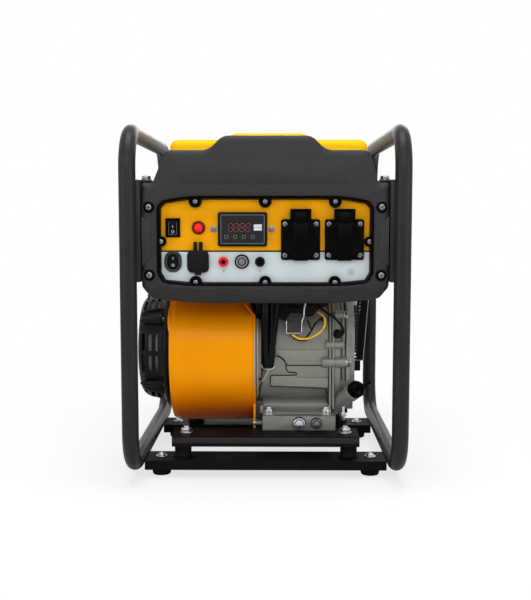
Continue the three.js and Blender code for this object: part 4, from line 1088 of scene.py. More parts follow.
@dataclass
class Assembly:
    """A sub-assembly: makes its pieces from surfaces, dresses them and reports each one."""

    made: int = field(default=0, init=False)

    def build(self) -> None:
        """Makes the pieces."""
        raise NotImplementedError

    def piece(self, name: str, skin: Skin, finish: Finish, body: str = ROOT, replaces: Sequence[str] = (),
              edge: float = 0.0, sharp: float = 35.0) -> bpy.types.Object:
        """Makes one piece.

        Args:
            name: the piece's name.
            skin: its surface.
            finish: its finish.
            body: the body that it rides on.
            replaces: the CAD nodes that it stands for.
            edge: width of a bevel on its sharp edges, in millimetres, or 0 for none.
            sharp: the angle, in degrees, above which an edge is shaded sharp.

        Returns:
            The piece.
        """
        mesh = bpy.data.meshes.new(name)
        mesh.from_pydata((skin.points * MM).tolist(), [], skin.faces)
        cleaned(mesh, SAME_POINT)
        return self.dress(bpy.data.objects.new(name, mesh), finish, body, replaces, edge, sharp)

    def dress(self, made: bpy.types.Object, finish: Finish, body: str, replaces: Sequence[str], edge: float,
              sharp: float) -> bpy.types.Object:
        """Shades, finishes and attaches a new object.

        Args:
            made: the object.
            finish: its finish.
            body: the body that it rides on.
            replaces: the CAD nodes that it stands for.
            edge: width of a bevel on its sharp edges, in millimetres.
            sharp: the angle above which an edge is shaded sharp.

        Returns:
            The object.
        """
        bpy.context.scene.collection.objects.link(made)
        mesh = made.data
        mesh.materials.clear()
        mesh.materials.append(finish.material())
        mesh.polygons.foreach_set("material_index", np.zeros(len(mesh.polygons), np.int32))
        mesh.polygons.foreach_set("use_smooth", np.ones(len(mesh.polygons), bool))
        mesh.set_sharp_from_angle(angle=math.radians(sharp))
        if edge > 0:
            bevel = made.modifiers.new("edges", "BEVEL")
            bevel.width, bevel.segments, bevel.limit_method = edge * MM, 2, "ANGLE"
            bevel.angle_limit, bevel.harden_normals = math.radians(max(sharp, LEAST_BEVEL)), False
        if body:
            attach(made, body)
        if replaces:
            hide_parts(*replaces)
        self.made += 1
        log.info("%s: %d faces in %s, on %s", made.name, len(mesh.polygons), finish.name, body)
        return made

    def soften(self, node: str, finish: Finish, edge: float, body: str = ROOT,
               sharp: float = 35.0) -> bpy.types.Object:
        """A copy of a CAD node with its flats merged and its edges rounded, in place of that node.

        Args:
            node: the CAD node.
            finish: its finish.
            edge: width of the rounded edges, in millimetres.
            body: the body that it rides on.
            sharp: the angle above which an edge is rounded.

        Returns:
            The piece.
        """
        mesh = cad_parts[node].data.copy()
        cleaned(mesh, SAME_CAD_POINT, FLAT)
        mesh.name = f"{node}_finished"
        for layer in list(mesh.uv_layers):
            mesh.uv_layers.remove(layer)
        made = bpy.data.objects.new(mesh.name, mesh)
        return self.dress(made, finish, body, (node,), edge, sharp)

    def keep(self, node: str, finish: Finish) -> None:
        """Gives a CAD node that stays as it is its finish.

        Args:
            node: the CAD node.
            finish: its finish.
        """
        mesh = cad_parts[node].data
        mesh.materials.clear()
        mesh.materials.append(finish.material())
        log.info("%s: kept, in %s", node, finish.name)


def rounded_profile(points: Sequence[Pair], setback: float | Sequence[float], steps: int = 4) -> Array:
    """An open profile with its inner corners rounded as an outline's are."""
    curve = softened(points, setback, steps).reshape(len(points), steps, 2)
    return np.vstack([np.array(points[0], float), curve[1:-1].reshape(-1, 2), np.array(points[-1], float)])


def turned(corners: Sequence[Pair], setback: float | Sequence[float], axis: Along, centre: Pair,
           sides: int) -> Skin:
    """A profile of (radius, place) with its inner corners rounded, turned about an axis."""
    return lathe(rounded_profile(corners, setback), axis, centre, sides)


def stood(base: float, profile: Sequence[Pair]) -> list[Pair]:
    """A profile of (radius, place) whose places are counted from a base."""
    return [(radius, base + place) for radius, place in profile]


def ribbed(profile: Sequence[Pair], axis: Along, centre: Pair, ribs: int, depth: float,
           spans: Sequence[float], loop: bool = False) -> Skin:
    """A turned profile whose radius swings by a depth as the cosine of so many ribs.

    Args:
        profile: the radius at each place along the axis.
        axis: the axis it turns about.
        centre: the axis's place in the plane across it.
        ribs: how many ribs stand round it.
        depth: how deep the grooves between them are.
        spans: how much of that depth each point of the profile takes.
        loop: the profile closes on itself.

    Returns:
        The surface.
    """
    shape = np.array(profile, float)
    turn = np.linspace(0.0, TURN, ribs * 8, endpoint=False)
    swing = depth * (0.5 - 0.5 * np.cos(ribs * turn))[None, :] * np.array(spans, float)[:, None]
    radius = shape[:, :1] - swing
    first, second = centre[0] + radius * np.cos(turn), centre[1] + radius * np.sin(turn)
    return grid(placed(first, second, shape[:, 1:], axis), loop=loop)


def rays(outline: Array, centre: Pair, angles: Array) -> Array:
    """Where rays from a point meet the outline round it: the radius is read off the finely divided outline.

    Args:
        outline: the outline.
        centre: where the rays start.
        angles: their directions.

    Returns:
        A point on the outline for each angle.
    """
    share = np.linspace(0.0, 1.0, 40, endpoint=False)[None, :, None]
    fine = outline[:, None] * (1 - share) + np.roll(outline, -1, 0)[:, None] * share
    fine = fine.reshape(-1, 2) - np.array(centre)
    turn, radius = np.arctan2(fine[:, 1], fine[:, 0]), np.hypot(fine[:, 0], fine[:, 1])
    order = np.argsort(turn)
    found = np.interp(angles, turn[order], radius[order], period=TURN)
    return np.array(centre) + found[:, None] * unit(angles)


def bearings(outlines: Sequence[Array], centre: Pair, count: int = 200) -> Array:
    """Evenly spaced angles with those of every corner of some outlines among them.

    Args:
        outlines: the outlines.
        centre: where the angles are taken from.
        count: how many even ones there are.

    Returns:
        The angles in order.
    """
    corners = np.vstack(outlines) - np.array(centre)
    own = np.arctan2(corners[:, 1], corners[:, 0])
    even = np.linspace(-math.pi, math.pi, count, endpoint=False)
    return np.unique(np.round(np.concatenate([even, own]), 3))


def frame_ring(outer: Array, inner: Array, axis: Along, start: float, end: float) -> Skin:
    """A flat ring between two outlines of equal length, carried straight along an axis."""
    places = np.array([start, end, end, start])[:, None]
    return stacked(np.array([outer, outer, inner, inner]), places, axis, loop=True)


def border(centre: Pair, outer: Triple, inner: Triple, start: float, end: float, steps: int = 6) -> Skin:
    """A raised line along Y between two rounded rectangles, each given as its width, height and corner."""
    ring = [rounded_rectangle(*size, centre, steps) for size in (outer, inner)]
    return frame_ring(*ring, Y, start, end)


def plaque(centre: Pair, size: Triple, start: float, end: float, edge: float = 0.0) -> Skin:
    """A rounded rectangle, given as its width, height and corner, carried along Y."""
    return prism(rounded_rectangle(*size, centre), Y, start, end, edge)


def stations(start: float, end: float, holes: Sequence[Pair], step: float) -> tuple[Array, Array]:
    """Places from start to end with every hole's edges among them.

    Args:
        start: the first place.
        end: the last place.
        holes: where each hole begins and ends.
        step: the widest gap between places.

    Returns:
        The places, and whether each gap between two of them lies in a hole.
    """
    marks = np.unique(np.round([start, end, *np.ravel(holes)], 5))
    counts = np.maximum(1, np.ceil(np.diff(marks) / step)).astype(int)
    spans = [np.linspace(a, b, n + 1) for a, b, n in zip(marks[:-1], marks[1:], counts)]
    places = np.unique(np.round(np.concatenate(spans), 5))
    middle = (places[:-1] + places[1:]) / 2
    low, high = np.array(holes, float).T
    return places, np.any((middle[:, None] > low) & (middle[:, None] < high), axis=1)


def sheet_metal(outer: Array, inner: Array, solid: Array, ring: bool = False) -> Skin:
    """A sheet with holes: faces over the solid cells of both sides, joined by a wall along every open edge.

    Args:
        outer: the grid of the outer side.
        inner: the grid of the inner side.
        solid: which cells are filled.
        ring: the columns close on themselves.

    Returns:
        The closed surface.
    """
    rows, columns = outer.shape[:2]
    index = np.arange(rows * columns).reshape(rows, columns)
    across = np.hstack([index, index[:, :1]]) if ring else index
    quads = cells(across)[solid]
    edges = np.stack([quads, np.roll(quads, -1, 1)], -1).reshape(-1, 2)
    total = rows * columns
    open_edge = ~np.isin(edges[:, 0] * total + edges[:, 1], edges[:, 1] * total + edges[:, 0])
    rim = edges[open_edge]
    walls = np.stack([rim[:, 1], rim[:, 0], rim[:, 0] + total, rim[:, 1] + total], -1)
    faces = np.vstack([quads, quads[:, ::-1] + total, walls])
    used, inverse = np.unique(faces, return_inverse=True)
    points = np.vstack([outer.reshape(-1, 3), inner.reshape(-1, 3)])[used]
    return Skin(points, [tuple(face) for face in inverse.reshape(-1, 4).tolist()])


# ---------------------------------------------------------------- frame, base and cradle


@dataclass
class TubeFrame(Assembly):
    """The two closed tube loops, each with the welded bracket that carries the control housing."""

    radius: float = 11.0
    bend: float = 50.0
    plate_inner: float = 159.6
    plate_outer: float = 166.0
    plate_front: float = -206.0
    plate_back: float = -152.0
    plate_bottom: float = 272.0
    tab_inner: float = 147.3
    tab_front: float = -192.0
    tab_bottom: float = 399.3
    tab_top: float = 403.0
    bolt_x: float = 155.0
    bolt_y: float = -178.0
    bead: float = 2.2
    bead_in: float = 6.2
    bead_ripple: float = 0.16
    bead_rate: float = 2.1

    def build(self) -> None:
        """Makes both sides."""
        for side in Side:
            self.loop(side)
            self.bracket(side)

    def loop(self, side: Side) -> None:
        """The tube: a circle carried round a rectangle with round corners.

        Args:
            side: which side of the generator it is on.
        """
        node = f"side_loop_{side.label}"
        extent = Extent.of(node)
        middle = side.value * (max(abs(extent.low[0]), abs(extent.high[0])) - self.radius)
        depth = extent.high[1] - extent.low[1] - 2 * self.radius
        height = extent.high[2] - extent.low[2] - 2 * self.radius
        outline = rounded_rectangle(depth, height, self.bend, tuple(extent.middle[1:]), 18)
        path = placed(outline[:, 0], outline[:, 1], np.array(middle), X)
        skin = sweep(circle(self.radius, 36), path, closed=True, up=(1, 0, 0))
        self.piece(f"tube_loop_{side.label}", skin, FRAME_BLACK, replaces=(node,), sharp=60)

    def bracket(self, side: Side) -> None:
        """The bracket's plate and tab, their weld beads and the bolt through the tab.

        Args:
            side: which side of the generator it is on.
        """
        low_x, high_x = sorted((side.value * self.plate_inner, side.value * self.plate_outer))
        plate = block((low_x, self.plate_front, self.plate_bottom), (high_x, self.plate_back, self.tab_top),
                      1.2)
        tab_low, tab_high = sorted((side.value * self.tab_inner, side.value * self.plate_outer))
        tab = block((tab_low, self.tab_front, self.tab_bottom), (tab_high, self.plate_back, self.tab_top),
                    0.9)
        heights = np.linspace(self.plate_bottom + 2, self.tab_top - 2, 90)
        bead_x = np.array(side.value * (self.plate_outer + 0.3))
        bead_y = np.array(self.plate_front + self.bead_in)
        ripple = 1 + self.bead_ripple * np.cos(heights * self.bead_rate)
        path = placed(bead_x, bead_y, heights, Z)
        bead = sweep(circle(self.bead, 10), path, up=(1, 0, 0), scale=ripple)
        label = side.label
        self.piece(f"bracket_{label}", plate + tab + bead, FRAME_BLACK, sharp=40)
        bolt = hex_bolt(Z, (side.value * self.bolt_x, self.bolt_y, self.tab_top), 10.0, 4.2, 1.0, 7.4)
        self.piece(f"ear_bolt_{label}", bolt, DARK_ZINC)


@dataclass
class Base(Assembly):
    """Base channels, feet, rubber mounts and the engine cradle."""

    foot_screw: float = 9.6
    mount_nut: float = 12.4
    roll: float = 0.7
    mount_out: float = 2.6
    nut_in: float = 2.4
    sheet: float = 2.8
    washer: float = 1.6

    def build(self) -> None:
        """Makes the base from the floor up."""
        for end in ("front", "rear"):
            self.soften(f"base_channel_{end}", SHADE_DARKENED_BLACK, 1.1)
            for side in Side:
                self.foot(end, side)
                self.isolator(end, side)
        self.soften("engine_cradle", SHADE_DARKENED_BLACK, 1.3)
        low, high = Extent.of("engine_cradle").low, Extent.of("engine_cradle").high
        lower = (low[0] + 1.0, low[1] - self.roll, high[2] - 9.6)
        upper = (high[0] - 1.0, low[1] + 1.0, high[2] - 1.3)
        # A raised roll along the cradle's upper front: the roll is shape, and its lighter frame black is a
        # painted highlight.
        roll = block(lower, upper, 1.2)
        self.piece("cradle_roll", roll, FRAME_BLACK, sharp=50)

    def foot(self, end: str, side: Side) -> None:
        """A rubber foot, turned about Z, and the screw that holds it.

        Args:
            end: front or rear.
            side: which side of the generator it is on.
        """
        node = f"foot_{end}_{side.label}"
        extent = Extent.of(node)
        centre = tuple(extent.middle[:2])
        channel_top = Extent.of(f"base_channel_{end}").high[2]
        radius, seat = extent.half[0], channel_top - self.sheet
        shape = [(0, 0), (radius - 1.0, 0), (radius, 3), (radius, seat), (0, seat)]
        rubber = lathe(rounded_profile(shape, 0.9), Z, centre)
        self.piece(f"rubber_{node}", rubber, FOOT_RUBBER, replaces=(node,))
        screw = hex_bolt(Z, (*centre, channel_top), self.foot_screw, 2.2, 1.0, 7.6)
        screw += pan_screw(Z, (*centre, channel_top + 3.2), 3.4, 1.0)
        self.piece(f"screw_{node}", screw, ZINC)

    def isolator(self, end: str, side: Side) -> None:
        """A waisted rubber mount between two steel washers, with its stud and nut.

        Args:
            end: front or rear.
            side: which side of the generator it is on.
        """
        node = f"isolator_{end}_{side.label}"
        extent = Extent.of(node)
        centre = tuple(extent.middle[:2])
        radius = extent.half[0]
        low = Extent.of(f"base_channel_{end}").high[2] + 0.3
        top = Extent.of("engine_cradle").high[2]
        high = top - self.sheet
        middle = (low + high) / 2
        waist = [(0, low), (radius - 0.2, low), (radius - 0.2, low + 3.0), (radius - 1.2, low + 5.0),
                 (radius - 1.0, middle + 2), (radius - 1.0, high - 6), (radius + 0.8, high - 4.0),
                 (radius + 0.8, high), (0, high)]
        body = (centre[0] + side.value * self.mount_out, centre[1])
        bolt = (centre[0] - side.value * self.nut_in, centre[1])
        rubber = lathe(rounded_profile(waist, [1, 1.5, 1.5, 2, 5, 2, 1.5, 1.0, 1], 6), Z, body)
        self.piece(f"rubber_{node}", rubber, FOOT_RUBBER, replaces=(node,))
        plates = joined([rod(radius + 1.2, body, Z, at, at + self.washer, 0.4, 36)
                         for at in (low, high - self.washer)])
        self.piece(f"washers_{node}", plates, SHADE_DARKENED_BLACK)
        nut = hex_bolt(Z, (*bolt, top), self.mount_nut, 5.3, 1.0, 9.0)
        stud = rod(3.7, bolt, Z, top, extent.high[2], 0.7, 20)
        self.piece(f"nut_{node}", nut + stud, ZINC)


# ---------------------------------------------------------------- control housing


@dataclass
class ControlHousing(Assembly):
    """The moulded fascia with its recessed window, and the housing behind it."""

    shift: float = 2.5
    middle: Pair = (0.0, 324.0)
    shoulder_height: float = 440.5
    skirt: float = 38.0
    chin: float = 262.5
    chin_slope: float = 5.0
    wall: float = 3.0
    window_half: float = 134.3
    window_top: float = 377.5
    window_bottom: float = 271.5
    lobe_radius: float = 8.2
    lobe_rise: float = 8.2
    side_radius: float = 6.9
    lobe_x: float = 89.8
    side_lobe: Pair = (134.2, 324.0)
    badge: Triple = (217.0, 28.0, 2.5)
    badge_middle: Pair = (-1.5, 411.0)
    corner_screws: tuple[Pair, ...] = ((-149.0, 368.0), (149.0, 368.0), (-149.0, 281.0), (149.0, 281.0))
    front: float = field(init=False)
    panel: float = field(init=False)
    extent: Extent = field(init=False)

    def __post_init__(self) -> None:
        """Reads the fascia's and panel's places."""
        self.extent = Extent.of("fascia")
        self.front = self.extent.low[1]
        self.panel = Extent.of("control_panel").low[1]

    def outline(self) -> Array:
        """The fascia's outline in (x, z): a flat chin, ears, slanted shoulders and a crown, all rounded.

        Returns:
            The outline.
        """
        half, bottom, top = self.extent.high[0] + 0.8, self.extent.low[2], self.extent.high[2]
        right = [(96, bottom), (147, bottom + 6.5), (half, bottom + 22), (half, 399), (144.2, 399)]
        level = self.shoulder_height
        upper = [(130 + self.shift, level), (75 + self.shift, level), (57 + self.shift, top)]
        setback = [22, 4, 4, 5, 4, 7, 10, 9, 9, 10, 7, 4, 5, 4, 4, 22]
        return softened(right + upper + mirrored(upper, self.shift) + mirrored(right), setback, 7)

    def window(self, grow: float) -> Array:
        """The window's outline in (x, z), grown all round.

        Args:
            grow: how far it is grown.

        Returns:
            The outline.
        """
        w, top, bottom = self.window_half, self.window_top, self.window_bottom
        right = [(98, bottom), (w - 5.7, bottom + 3.2), (w, bottom + 12.8), (w, top - 10.8),
                 (w - 5.7, top - 5.0), (98, top)]
        return inset(softened(right + mirrored(right), [10, 1.6, 1.6, 1.6, 1.6, 10] * 2, 4), -grow)

    def build(self) -> None:
        """Makes the fascia, its screws and the housing."""
        self.fascia()
        self.lobes()
        self.corners()
        self.trim()
        self.keep("control_panel", PANEL_PRINT)
        self.soften("control_housing", HOUSING_PLASTIC, 2.0)
        self.soften("inverter_module", CASTING, 0.8)

    def fascia(self) -> None:
        """The moulding: rings from the skirt's edge over the front, into the window and back inside the wall.

        Each ring is an outline inset by some distance and met by rays from the window's middle.
        """
        outer = self.outline()
        angles = bearings([outer, self.window(0)], self.middle)
        back = self.front + self.skirt
        f, p = self.front, self.panel

        def rims(rows: Sequence[Pair]) -> list[tuple[Array, float]]:
            """Rings of the outer outline, given their insets and depths."""
            return [(inset(outer, amount), at) for amount, at in rows]

        def sills(rows: Sequence[Pair]) -> list[tuple[Array, float]]:
            """Rings of the window's outline, given how far each is grown and its depth."""
            return [(self.window(amount), at) for amount, at in rows]

        moulding = rims([(0.0, back), (0.0, f + 5.2), (0.4, f + 3.9), (1.3, f + 2.8), (2.4, f + 2.1),
                         (5.6, f + 0.4), (7.4, f)])
        moulding += sills([(7.4, f), (6.9, f + 0.4), (6.2, f + 0.4), (5.7, f + 0.1), (5.1, f + 0.5),
                           (4.6, f + 1.6), (4.6, p - 0.3), (6.6, p - 0.3), (7.6, f + 3.4)])
        moulding += rims([(5.6, f + 4.0), (self.wall, f + 7.0), (self.wall, back)])
        bezel = sills([(4.5, p - 0.4), (4.5, f + 2.6), (3.6, f + 2.2), (1.6, f + 3.0), (0.5, f + 6.0),
                       (0.0, p - 0.4)])
        pair = (("fascia_moulding", moulding, FASCIA_PLASTIC), ("window_bezel", bezel, OUTLET_PLASTIC))
        for name, rings, finish in pair:
            stack = np.array([rays(shape, self.middle, angles) for shape, _ in rings])
            depth = np.array([at for _, at in rings])[:, None]
            share = (self.chin - stack[..., 1]) / (self.chin - self.extent.low[2])
            depth = depth + self.chin_slope * np.clip(share, 0.0, 1.0) * (depth < self.front + 6.0)
            skin = stacked(stack, depth, Y, loop=True)
            self.piece(name, skin, finish, replaces=("fascia",) if rings is moulding else (), sharp=26)

    def boss(self, at: Pair, radius: float) -> Skin:
        """A screw boss turned about Y, with a sunken seat for the head.

        Args:
            at: its middle in (x, z).
            radius: its radius.

        Returns:
            The surface.
        """
        face = self.panel - self.lobe_rise
        shape = [(0, face + 1.6), (radius * 0.62, face + 1.6), (radius * 0.68, face), (radius, face),
                 (radius, self.panel - 0.2), (0, self.panel - 0.2)]
        return turned(shape, 0.9, Y, at, 40)

    def lobes(self) -> None:
        """The screw lobes round the window and their screws."""
        levels = (self.window_top - 2, self.window_bottom)
        places = [(x, z) for x in (-self.lobe_x, 0.0, self.lobe_x) for z in levels]
        sides = [(side.value * self.side_lobe[0], self.side_lobe[1]) for side in Side]
        bosses = [self.boss(at, self.lobe_radius) for at in places]
        bosses += [self.boss(at, self.side_radius) for at in sides]
        self.piece("window_lobes", joined(bosses), OUTLET_PLASTIC, sharp=40)
        screws = front_screws(places + sides, self.panel - 6.8, 3.1, [15.0 + 23.0 * i for i in range(8)])
        self.piece("window_screws", screws, DARK_ZINC)

    def corners(self) -> None:
        """The four corner screws in their dark wells, each with a thin raised ring."""
        f = self.front
        floors = [rod(7.6, at, Y, f + 2.0, f - 0.12, 0.1, 36) for at in self.corner_screws]
        self.piece("corner_screw_wells", joined(floors), OUTLET_PLASTIC, sharp=40)
        line = stood(f, [(7.5, 1), (7.5, -0.3), (8.0, -0.6), (8.6, -0.1), (8.6, 1)])
        rings = [lathe(line, Y, at, 40, loop=True) for at in self.corner_screws]
        self.piece("corner_screw_rims", joined(rings), FASCIA_PLASTIC, sharp=50)
        screws = front_screws(self.corner_screws, f - 0.1, 3.9, [31.0 * i for i in range(4)])
        self.piece("corner_screws", screws, DARK_ZINC)

    def trim(self) -> None:
        """The side pads between the corner screws and the bare badge panel on the crown."""
        line = ((159.0, 357.5), (145.5, 345.5), (145.5, 303.5), (159.0, 291.5))
        shapes = [softened([(side.value * x, z) for x, z in line], [0.6, 3, 3, 0.6], 4) for side in Side]
        pads = [prism(shape, Y, self.front + 5, self.front - 0.7, 0.9) for shape in shapes]
        self.piece("fascia_side_pads", joined(pads), FASCIA_PLASTIC)
        badge = rounded_rectangle(*self.badge, self.badge_middle, 5)
        badge = prism(badge, Y, self.front + 0.5, self.front - 0.25, 0.2)
        self.piece("crown_badge_panel", badge, FASCIA_PLASTIC)


# ---------------------------------------------------------------- controls


@dataclass
class PanelControls(Assembly):
    """Switches, lamp, meter, outlets, ports and posts, each seated on the panel's face."""

    meter_size: Pair = (63.7, 44.3)
    digit: Pair = (5.4, 10.6)
    lid_radius: float = 24.0
    band: float = 9.7
    lid_middle: float = 26.25
    cheek: Pair = (8.9, 12.9)
    arm: float = 8.1
    outlet_screw: float = 20.0
    meter_screws: Pair = (-37.8, 37.5)
    meter_line: tuple[Triple, Triple] = ((56.6, 37.6, 1.6), (55.2, 36.2, 1.0))
    window: Triple = (55.0, 36.0, 0.9)
    display: Triple = (31.5, 14.5, 0.8)
    digit_pitch: float = 7.5
    plate: Triple = (10.4, 3.7, 0.4)
    key: tuple[Triple, Triple] = ((4.6, 4.6, 0.9), (3.6, 3.6, 0.6))
    key_pitch: float = 11.3
    switch_rim: tuple[Triple, Triple] = ((18.6, 24.2, 1.6), (13.0, 20.4, 0.9))
    rocker_line: tuple[Triple, Triple] = ((10.8, 18.4, 0.8), (10.0, 17.6, 0.5))
    eco_rims: tuple[Pair, Pair] = ((21.4, 26.9), (17.0, 22.5))
    earth: Pair = (110.9, 284.4)
    signs: float = 286.0
    face: float = field(init=False)

    def __post_init__(self) -> None:
        """Reads the panel's face."""
        self.face = Extent.of("control_panel").low[1]

    def build(self) -> None:
        """Makes the controls from left to right."""
        self.switches()
        self.lamp()
        self.meter()
        for side in Side:
            self.outlet(side)
        self.usb()
        self.posts()
        self.breaker()
        self.prints()

    def centre(self, node: str) -> Pair:
        """The middle of a node in (x, z)."""
        middle = Extent.of(node).middle
        return float(middle[0]), float(middle[2])

    def switches(self) -> None:
        """Both rocker switches with their rims, stroke and ring marks."""
        for name, body, rise, lift in (("engine_switch", "engine_switch_rocker", 1.4, 5.0),
                                       ("eco_switch", "eco_switch_rocker", 4.2, 4.6)):
            self.soften(name, SMOOTH_PLASTIC, 0.6)
            self.soften(body, SMOOTH_PLASTIC, 0.5, body)
            (x, z), f = self.centre(body), self.face
            stroke = block((x - 0.35, f - 3.75, z + rise - 1.6), (x + 0.35, f - 3.0, z + rise + 1.6), 0.1)
            line = stood(f, [(1.3, -2.8), (1.3, -2.35), (1.85, -2.35), (1.85, -2.8)])
            ring = lathe(line, Y, (x, z - lift), 28, loop=True)
            self.piece(f"{name}_marks", stroke + ring, PRINT_WHITE, body)
        (x, z), front = self.centre("engine_switch"), Extent.of("engine_switch").low[1]
        rim = border((x, z), *self.switch_rim, front + 0.6, front - 0.4)
        self.piece("engine_switch_rim", rim, OUTLET_PLASTIC)
        near = Extent.of("engine_switch_rocker").low[1] + 1.2
        line = border((x, z), *self.rocker_line, near + 1.0, near - 1.0)
        self.piece("engine_switch_line", line, BUTTON_GREY, "engine_switch_rocker")
        (x, z), front = self.centre("eco_switch"), Extent.of("eco_switch").low[1]
        near, far = front + 0.3, front - 0.2
        rims = [border((x, z), (w, h, w / 2 - 0.01), (w - 0.8, h - 0.8, w / 2 - 0.41), near, far, 12)
                for w, h in self.eco_rims]
        self.piece("eco_switch_rims", joined(rims), BUTTON_GREY)

    def lamp(self) -> None:
        """The warning lamp: a maroon rim with a domed lens."""
        (x, z), f = self.centre("warning_lamp"), self.face
        bezel = stood(f, [(5.6, -0.3), (8.7, -0.3), (8.7, -2.6), (8.0, -3.5), (6.6, -3.8), (5.8, -2.6)])
        self.piece("lamp_bezel", lathe(bezel, Y, (x, z), 40, loop=True), LENS_RIM, sharp=50)
        turn = np.linspace(0.0, math.pi / 2, 9)
        crown = zip(6.1 * np.cos(turn), f - 3.2 - 5.6 * np.sin(turn))
        dome = [(0, f + 14), (5.8, f + 14), (5.8, f - 3.0), *crown]
        self.piece("lamp_lens", lathe(dome, Y, (x, z), 40), RED_LENS, replaces=("warning_lamp",), sharp=60)

    def segments(self, x: float, z: float, front: float) -> Skin:
        """The seven bars of one display digit, leaning a little to the right.

        Args:
            x: the digit's middle along X.
            z: its middle along Z.
            front: the display's face.

        Returns:
            The bars.
        """
        w, h = self.digit
        flat = np.array([(-0.36, 0), (-0.3, 0.05), (0.3, 0.05), (0.36, 0), (0.3, -0.05), (-0.3, -0.05)])
        bars = [flat * (w, h * 0.8) + (0, h / 2 * level) for level in (-1, 0, 1)]
        tall = flat[:, ::-1] * (w * 1.5, h * 0.5)
        bars += [tall + (side * w / 2, h / 4 * half) for side in (-1, 1) for half in (-1, 1)]
        leaning = [bar + np.stack([bar[:, 1] * 0.08, bar[:, 1] * 0], -1) + (x, z) for bar in bars]
        return joined([prism(bar, Y, front + 0.3, front - 0.08) for bar in leaning])

    def meter(self) -> None:
        """The meter: bezel, bright frame, tinted window, four dim digits and a row of keys."""
        x, z = self.centre("meter")
        f = Extent.of("meter").low[1]
        case = plaque((x, z), (*self.meter_size, 3.2), self.face - 0.3, f, 1.1)
        self.piece("meter_case", case, SMOOTH_PLASTIC, replaces=("meter",))
        line = border((x, z), *self.meter_line, f + 0.4, f - 0.12)
        self.piece("meter_frame_line", line, BUTTON_GREY)
        window = plaque((x, z), self.window, f + 0.4, f - 0.05)
        self.piece("meter_window", window, METER_FACE)
        recess = plaque((x - 4.4, z + 2.3), self.display, f + 0.4, f - 0.10)
        self.piece("meter_display", recess, DISPLAY_GLASS)
        starts = [x - 15.6 + self.digit_pitch * i for i in range(4)]
        digits = joined([self.segments(start, z + 2.3, f - 0.12) for start in starts])
        self.piece("meter_digits", digits, DIGIT)
        rows = [(x + 19.6, z + 2.4 + dz) for dz in (2.05, -2.05)]
        plates = [plaque(at, self.plate, f + 0.3, f - 0.3, 0.15) for at in rows]
        self.piece("meter_plates", joined(plates), PRINT_WHITE)
        places = [(x - 20.9 + self.key_pitch * i, z - 9.6) for i in range(4)]
        keys = [border(at, *self.key, f + 0.3, f - 0.2) for at in places]
        self.piece("meter_keys", joined(keys), BUTTON_GREY)
        ends = [(x + dx, z) for dx in self.meter_screws]
        washers = joined([rod(4.4, at, Y, self.face, self.face - 0.7, 0.2, 28) for at in ends])
        screws = front_screws(ends, self.face - 0.3, 3.5, (12.0, 12.0))
        self.piece("meter_screws", screws + washers, DARK_ZINC)

    def outlet(self, side: Side) -> None:
        """An outlet's body and flange screws, and its spring lid with the raised band down the middle.

        Args:
            side: which side of the generator it is on.
        """
        node, lid = f"outlet_{side.label}", f"outlet_lid_{side.label}"
        self.soften(node, OUTLET_PLASTIC, 0.7)
        x, z = float(Extent.of(lid).middle[0]), Extent.of(node).low[2] + self.lid_middle
        panel, top = self.face - 0.2, Extent.of(node).high[2]
        hood = block((x - 10.0, self.face - 4.2, z + 22.0), (x + 10.0, panel, top), 0.5)
        near, far = self.cheek
        rims = [block((x - far, self.face - 9.6, top - 1.8), (x + far, panel, top), 0.6)]
        rims += [block((x + low, self.face - 8.2, z + 24.0), (x + low + far - near, panel, top), 0.6)
                 for low in (-far, near)]
        self.piece(f"{node}_hood", joined([hood, *rims]), OUTLET_PLASTIC)
        out = (-self.outlet_screw, self.outlet_screw)
        places = [(x + dx, z + dz) for dx in out for dz in out]
        heads = front_screws(places, self.face - 5.0, 3.3, [40.0 * dx + dz for dx in out for dz in out])
        self.piece(f"{node}_screws", heads, DARK_ZINC)
        back, top = self.face - 5.7, Extent.of(lid).low[1]
        r = self.lid_radius
        shape = [(0, back), (r, back), (r, top + 1.6), (r - 1.2, top + 0.9), (r - 3.2, top + 0.9),
                 (r - 3.8, top + 1.8), (0, top + 1.8)]
        disc = lathe(rounded_profile(shape, 0.5, 4), Y, (x, z), 72)
        band = block((x - self.band, top, z - r - 2.6), (x + self.band, back, z + r - 1.2), 1.0)
        arm = block((x - self.arm, top, z + r - 4.0), (x + self.arm, back + 0.8, z + 33.0), 1.0)
        knuckle = rod(3.0, (self.face - 9.0, z + 32.5), X, x - self.arm, x + self.arm, 0.6, 24)
        lip = block((x - 9, top + 0.2, z - r - 3.0), (x + 9, top + 2.6, z - r + 1.0), 0.9)
        ridge = block((x - 7.5, top - 0.06, 307.4), (x + 7.5, top + 0.6, 309.0), 0.3)
        ring = stood(top, [(3.2, 0.4), (3.2, -0.1), (4.0, -0.1), (4.0, 0.4)])
        mark = lathe(ring, Y, (x, z + 10.5), 32, loop=True)
        mark += lathe(stood(top, [(0, 0.4), (1.6, 0.4), (1.6, -0.1), (0, -0.1)]), Y, (x, z + 1.0), 20)
        whole = disc + band + arm + knuckle + lip + ridge + mark
        self.piece(f"lid_{side.label}", whole, OUTLET_PLASTIC, lid, (lid,), sharp=32)

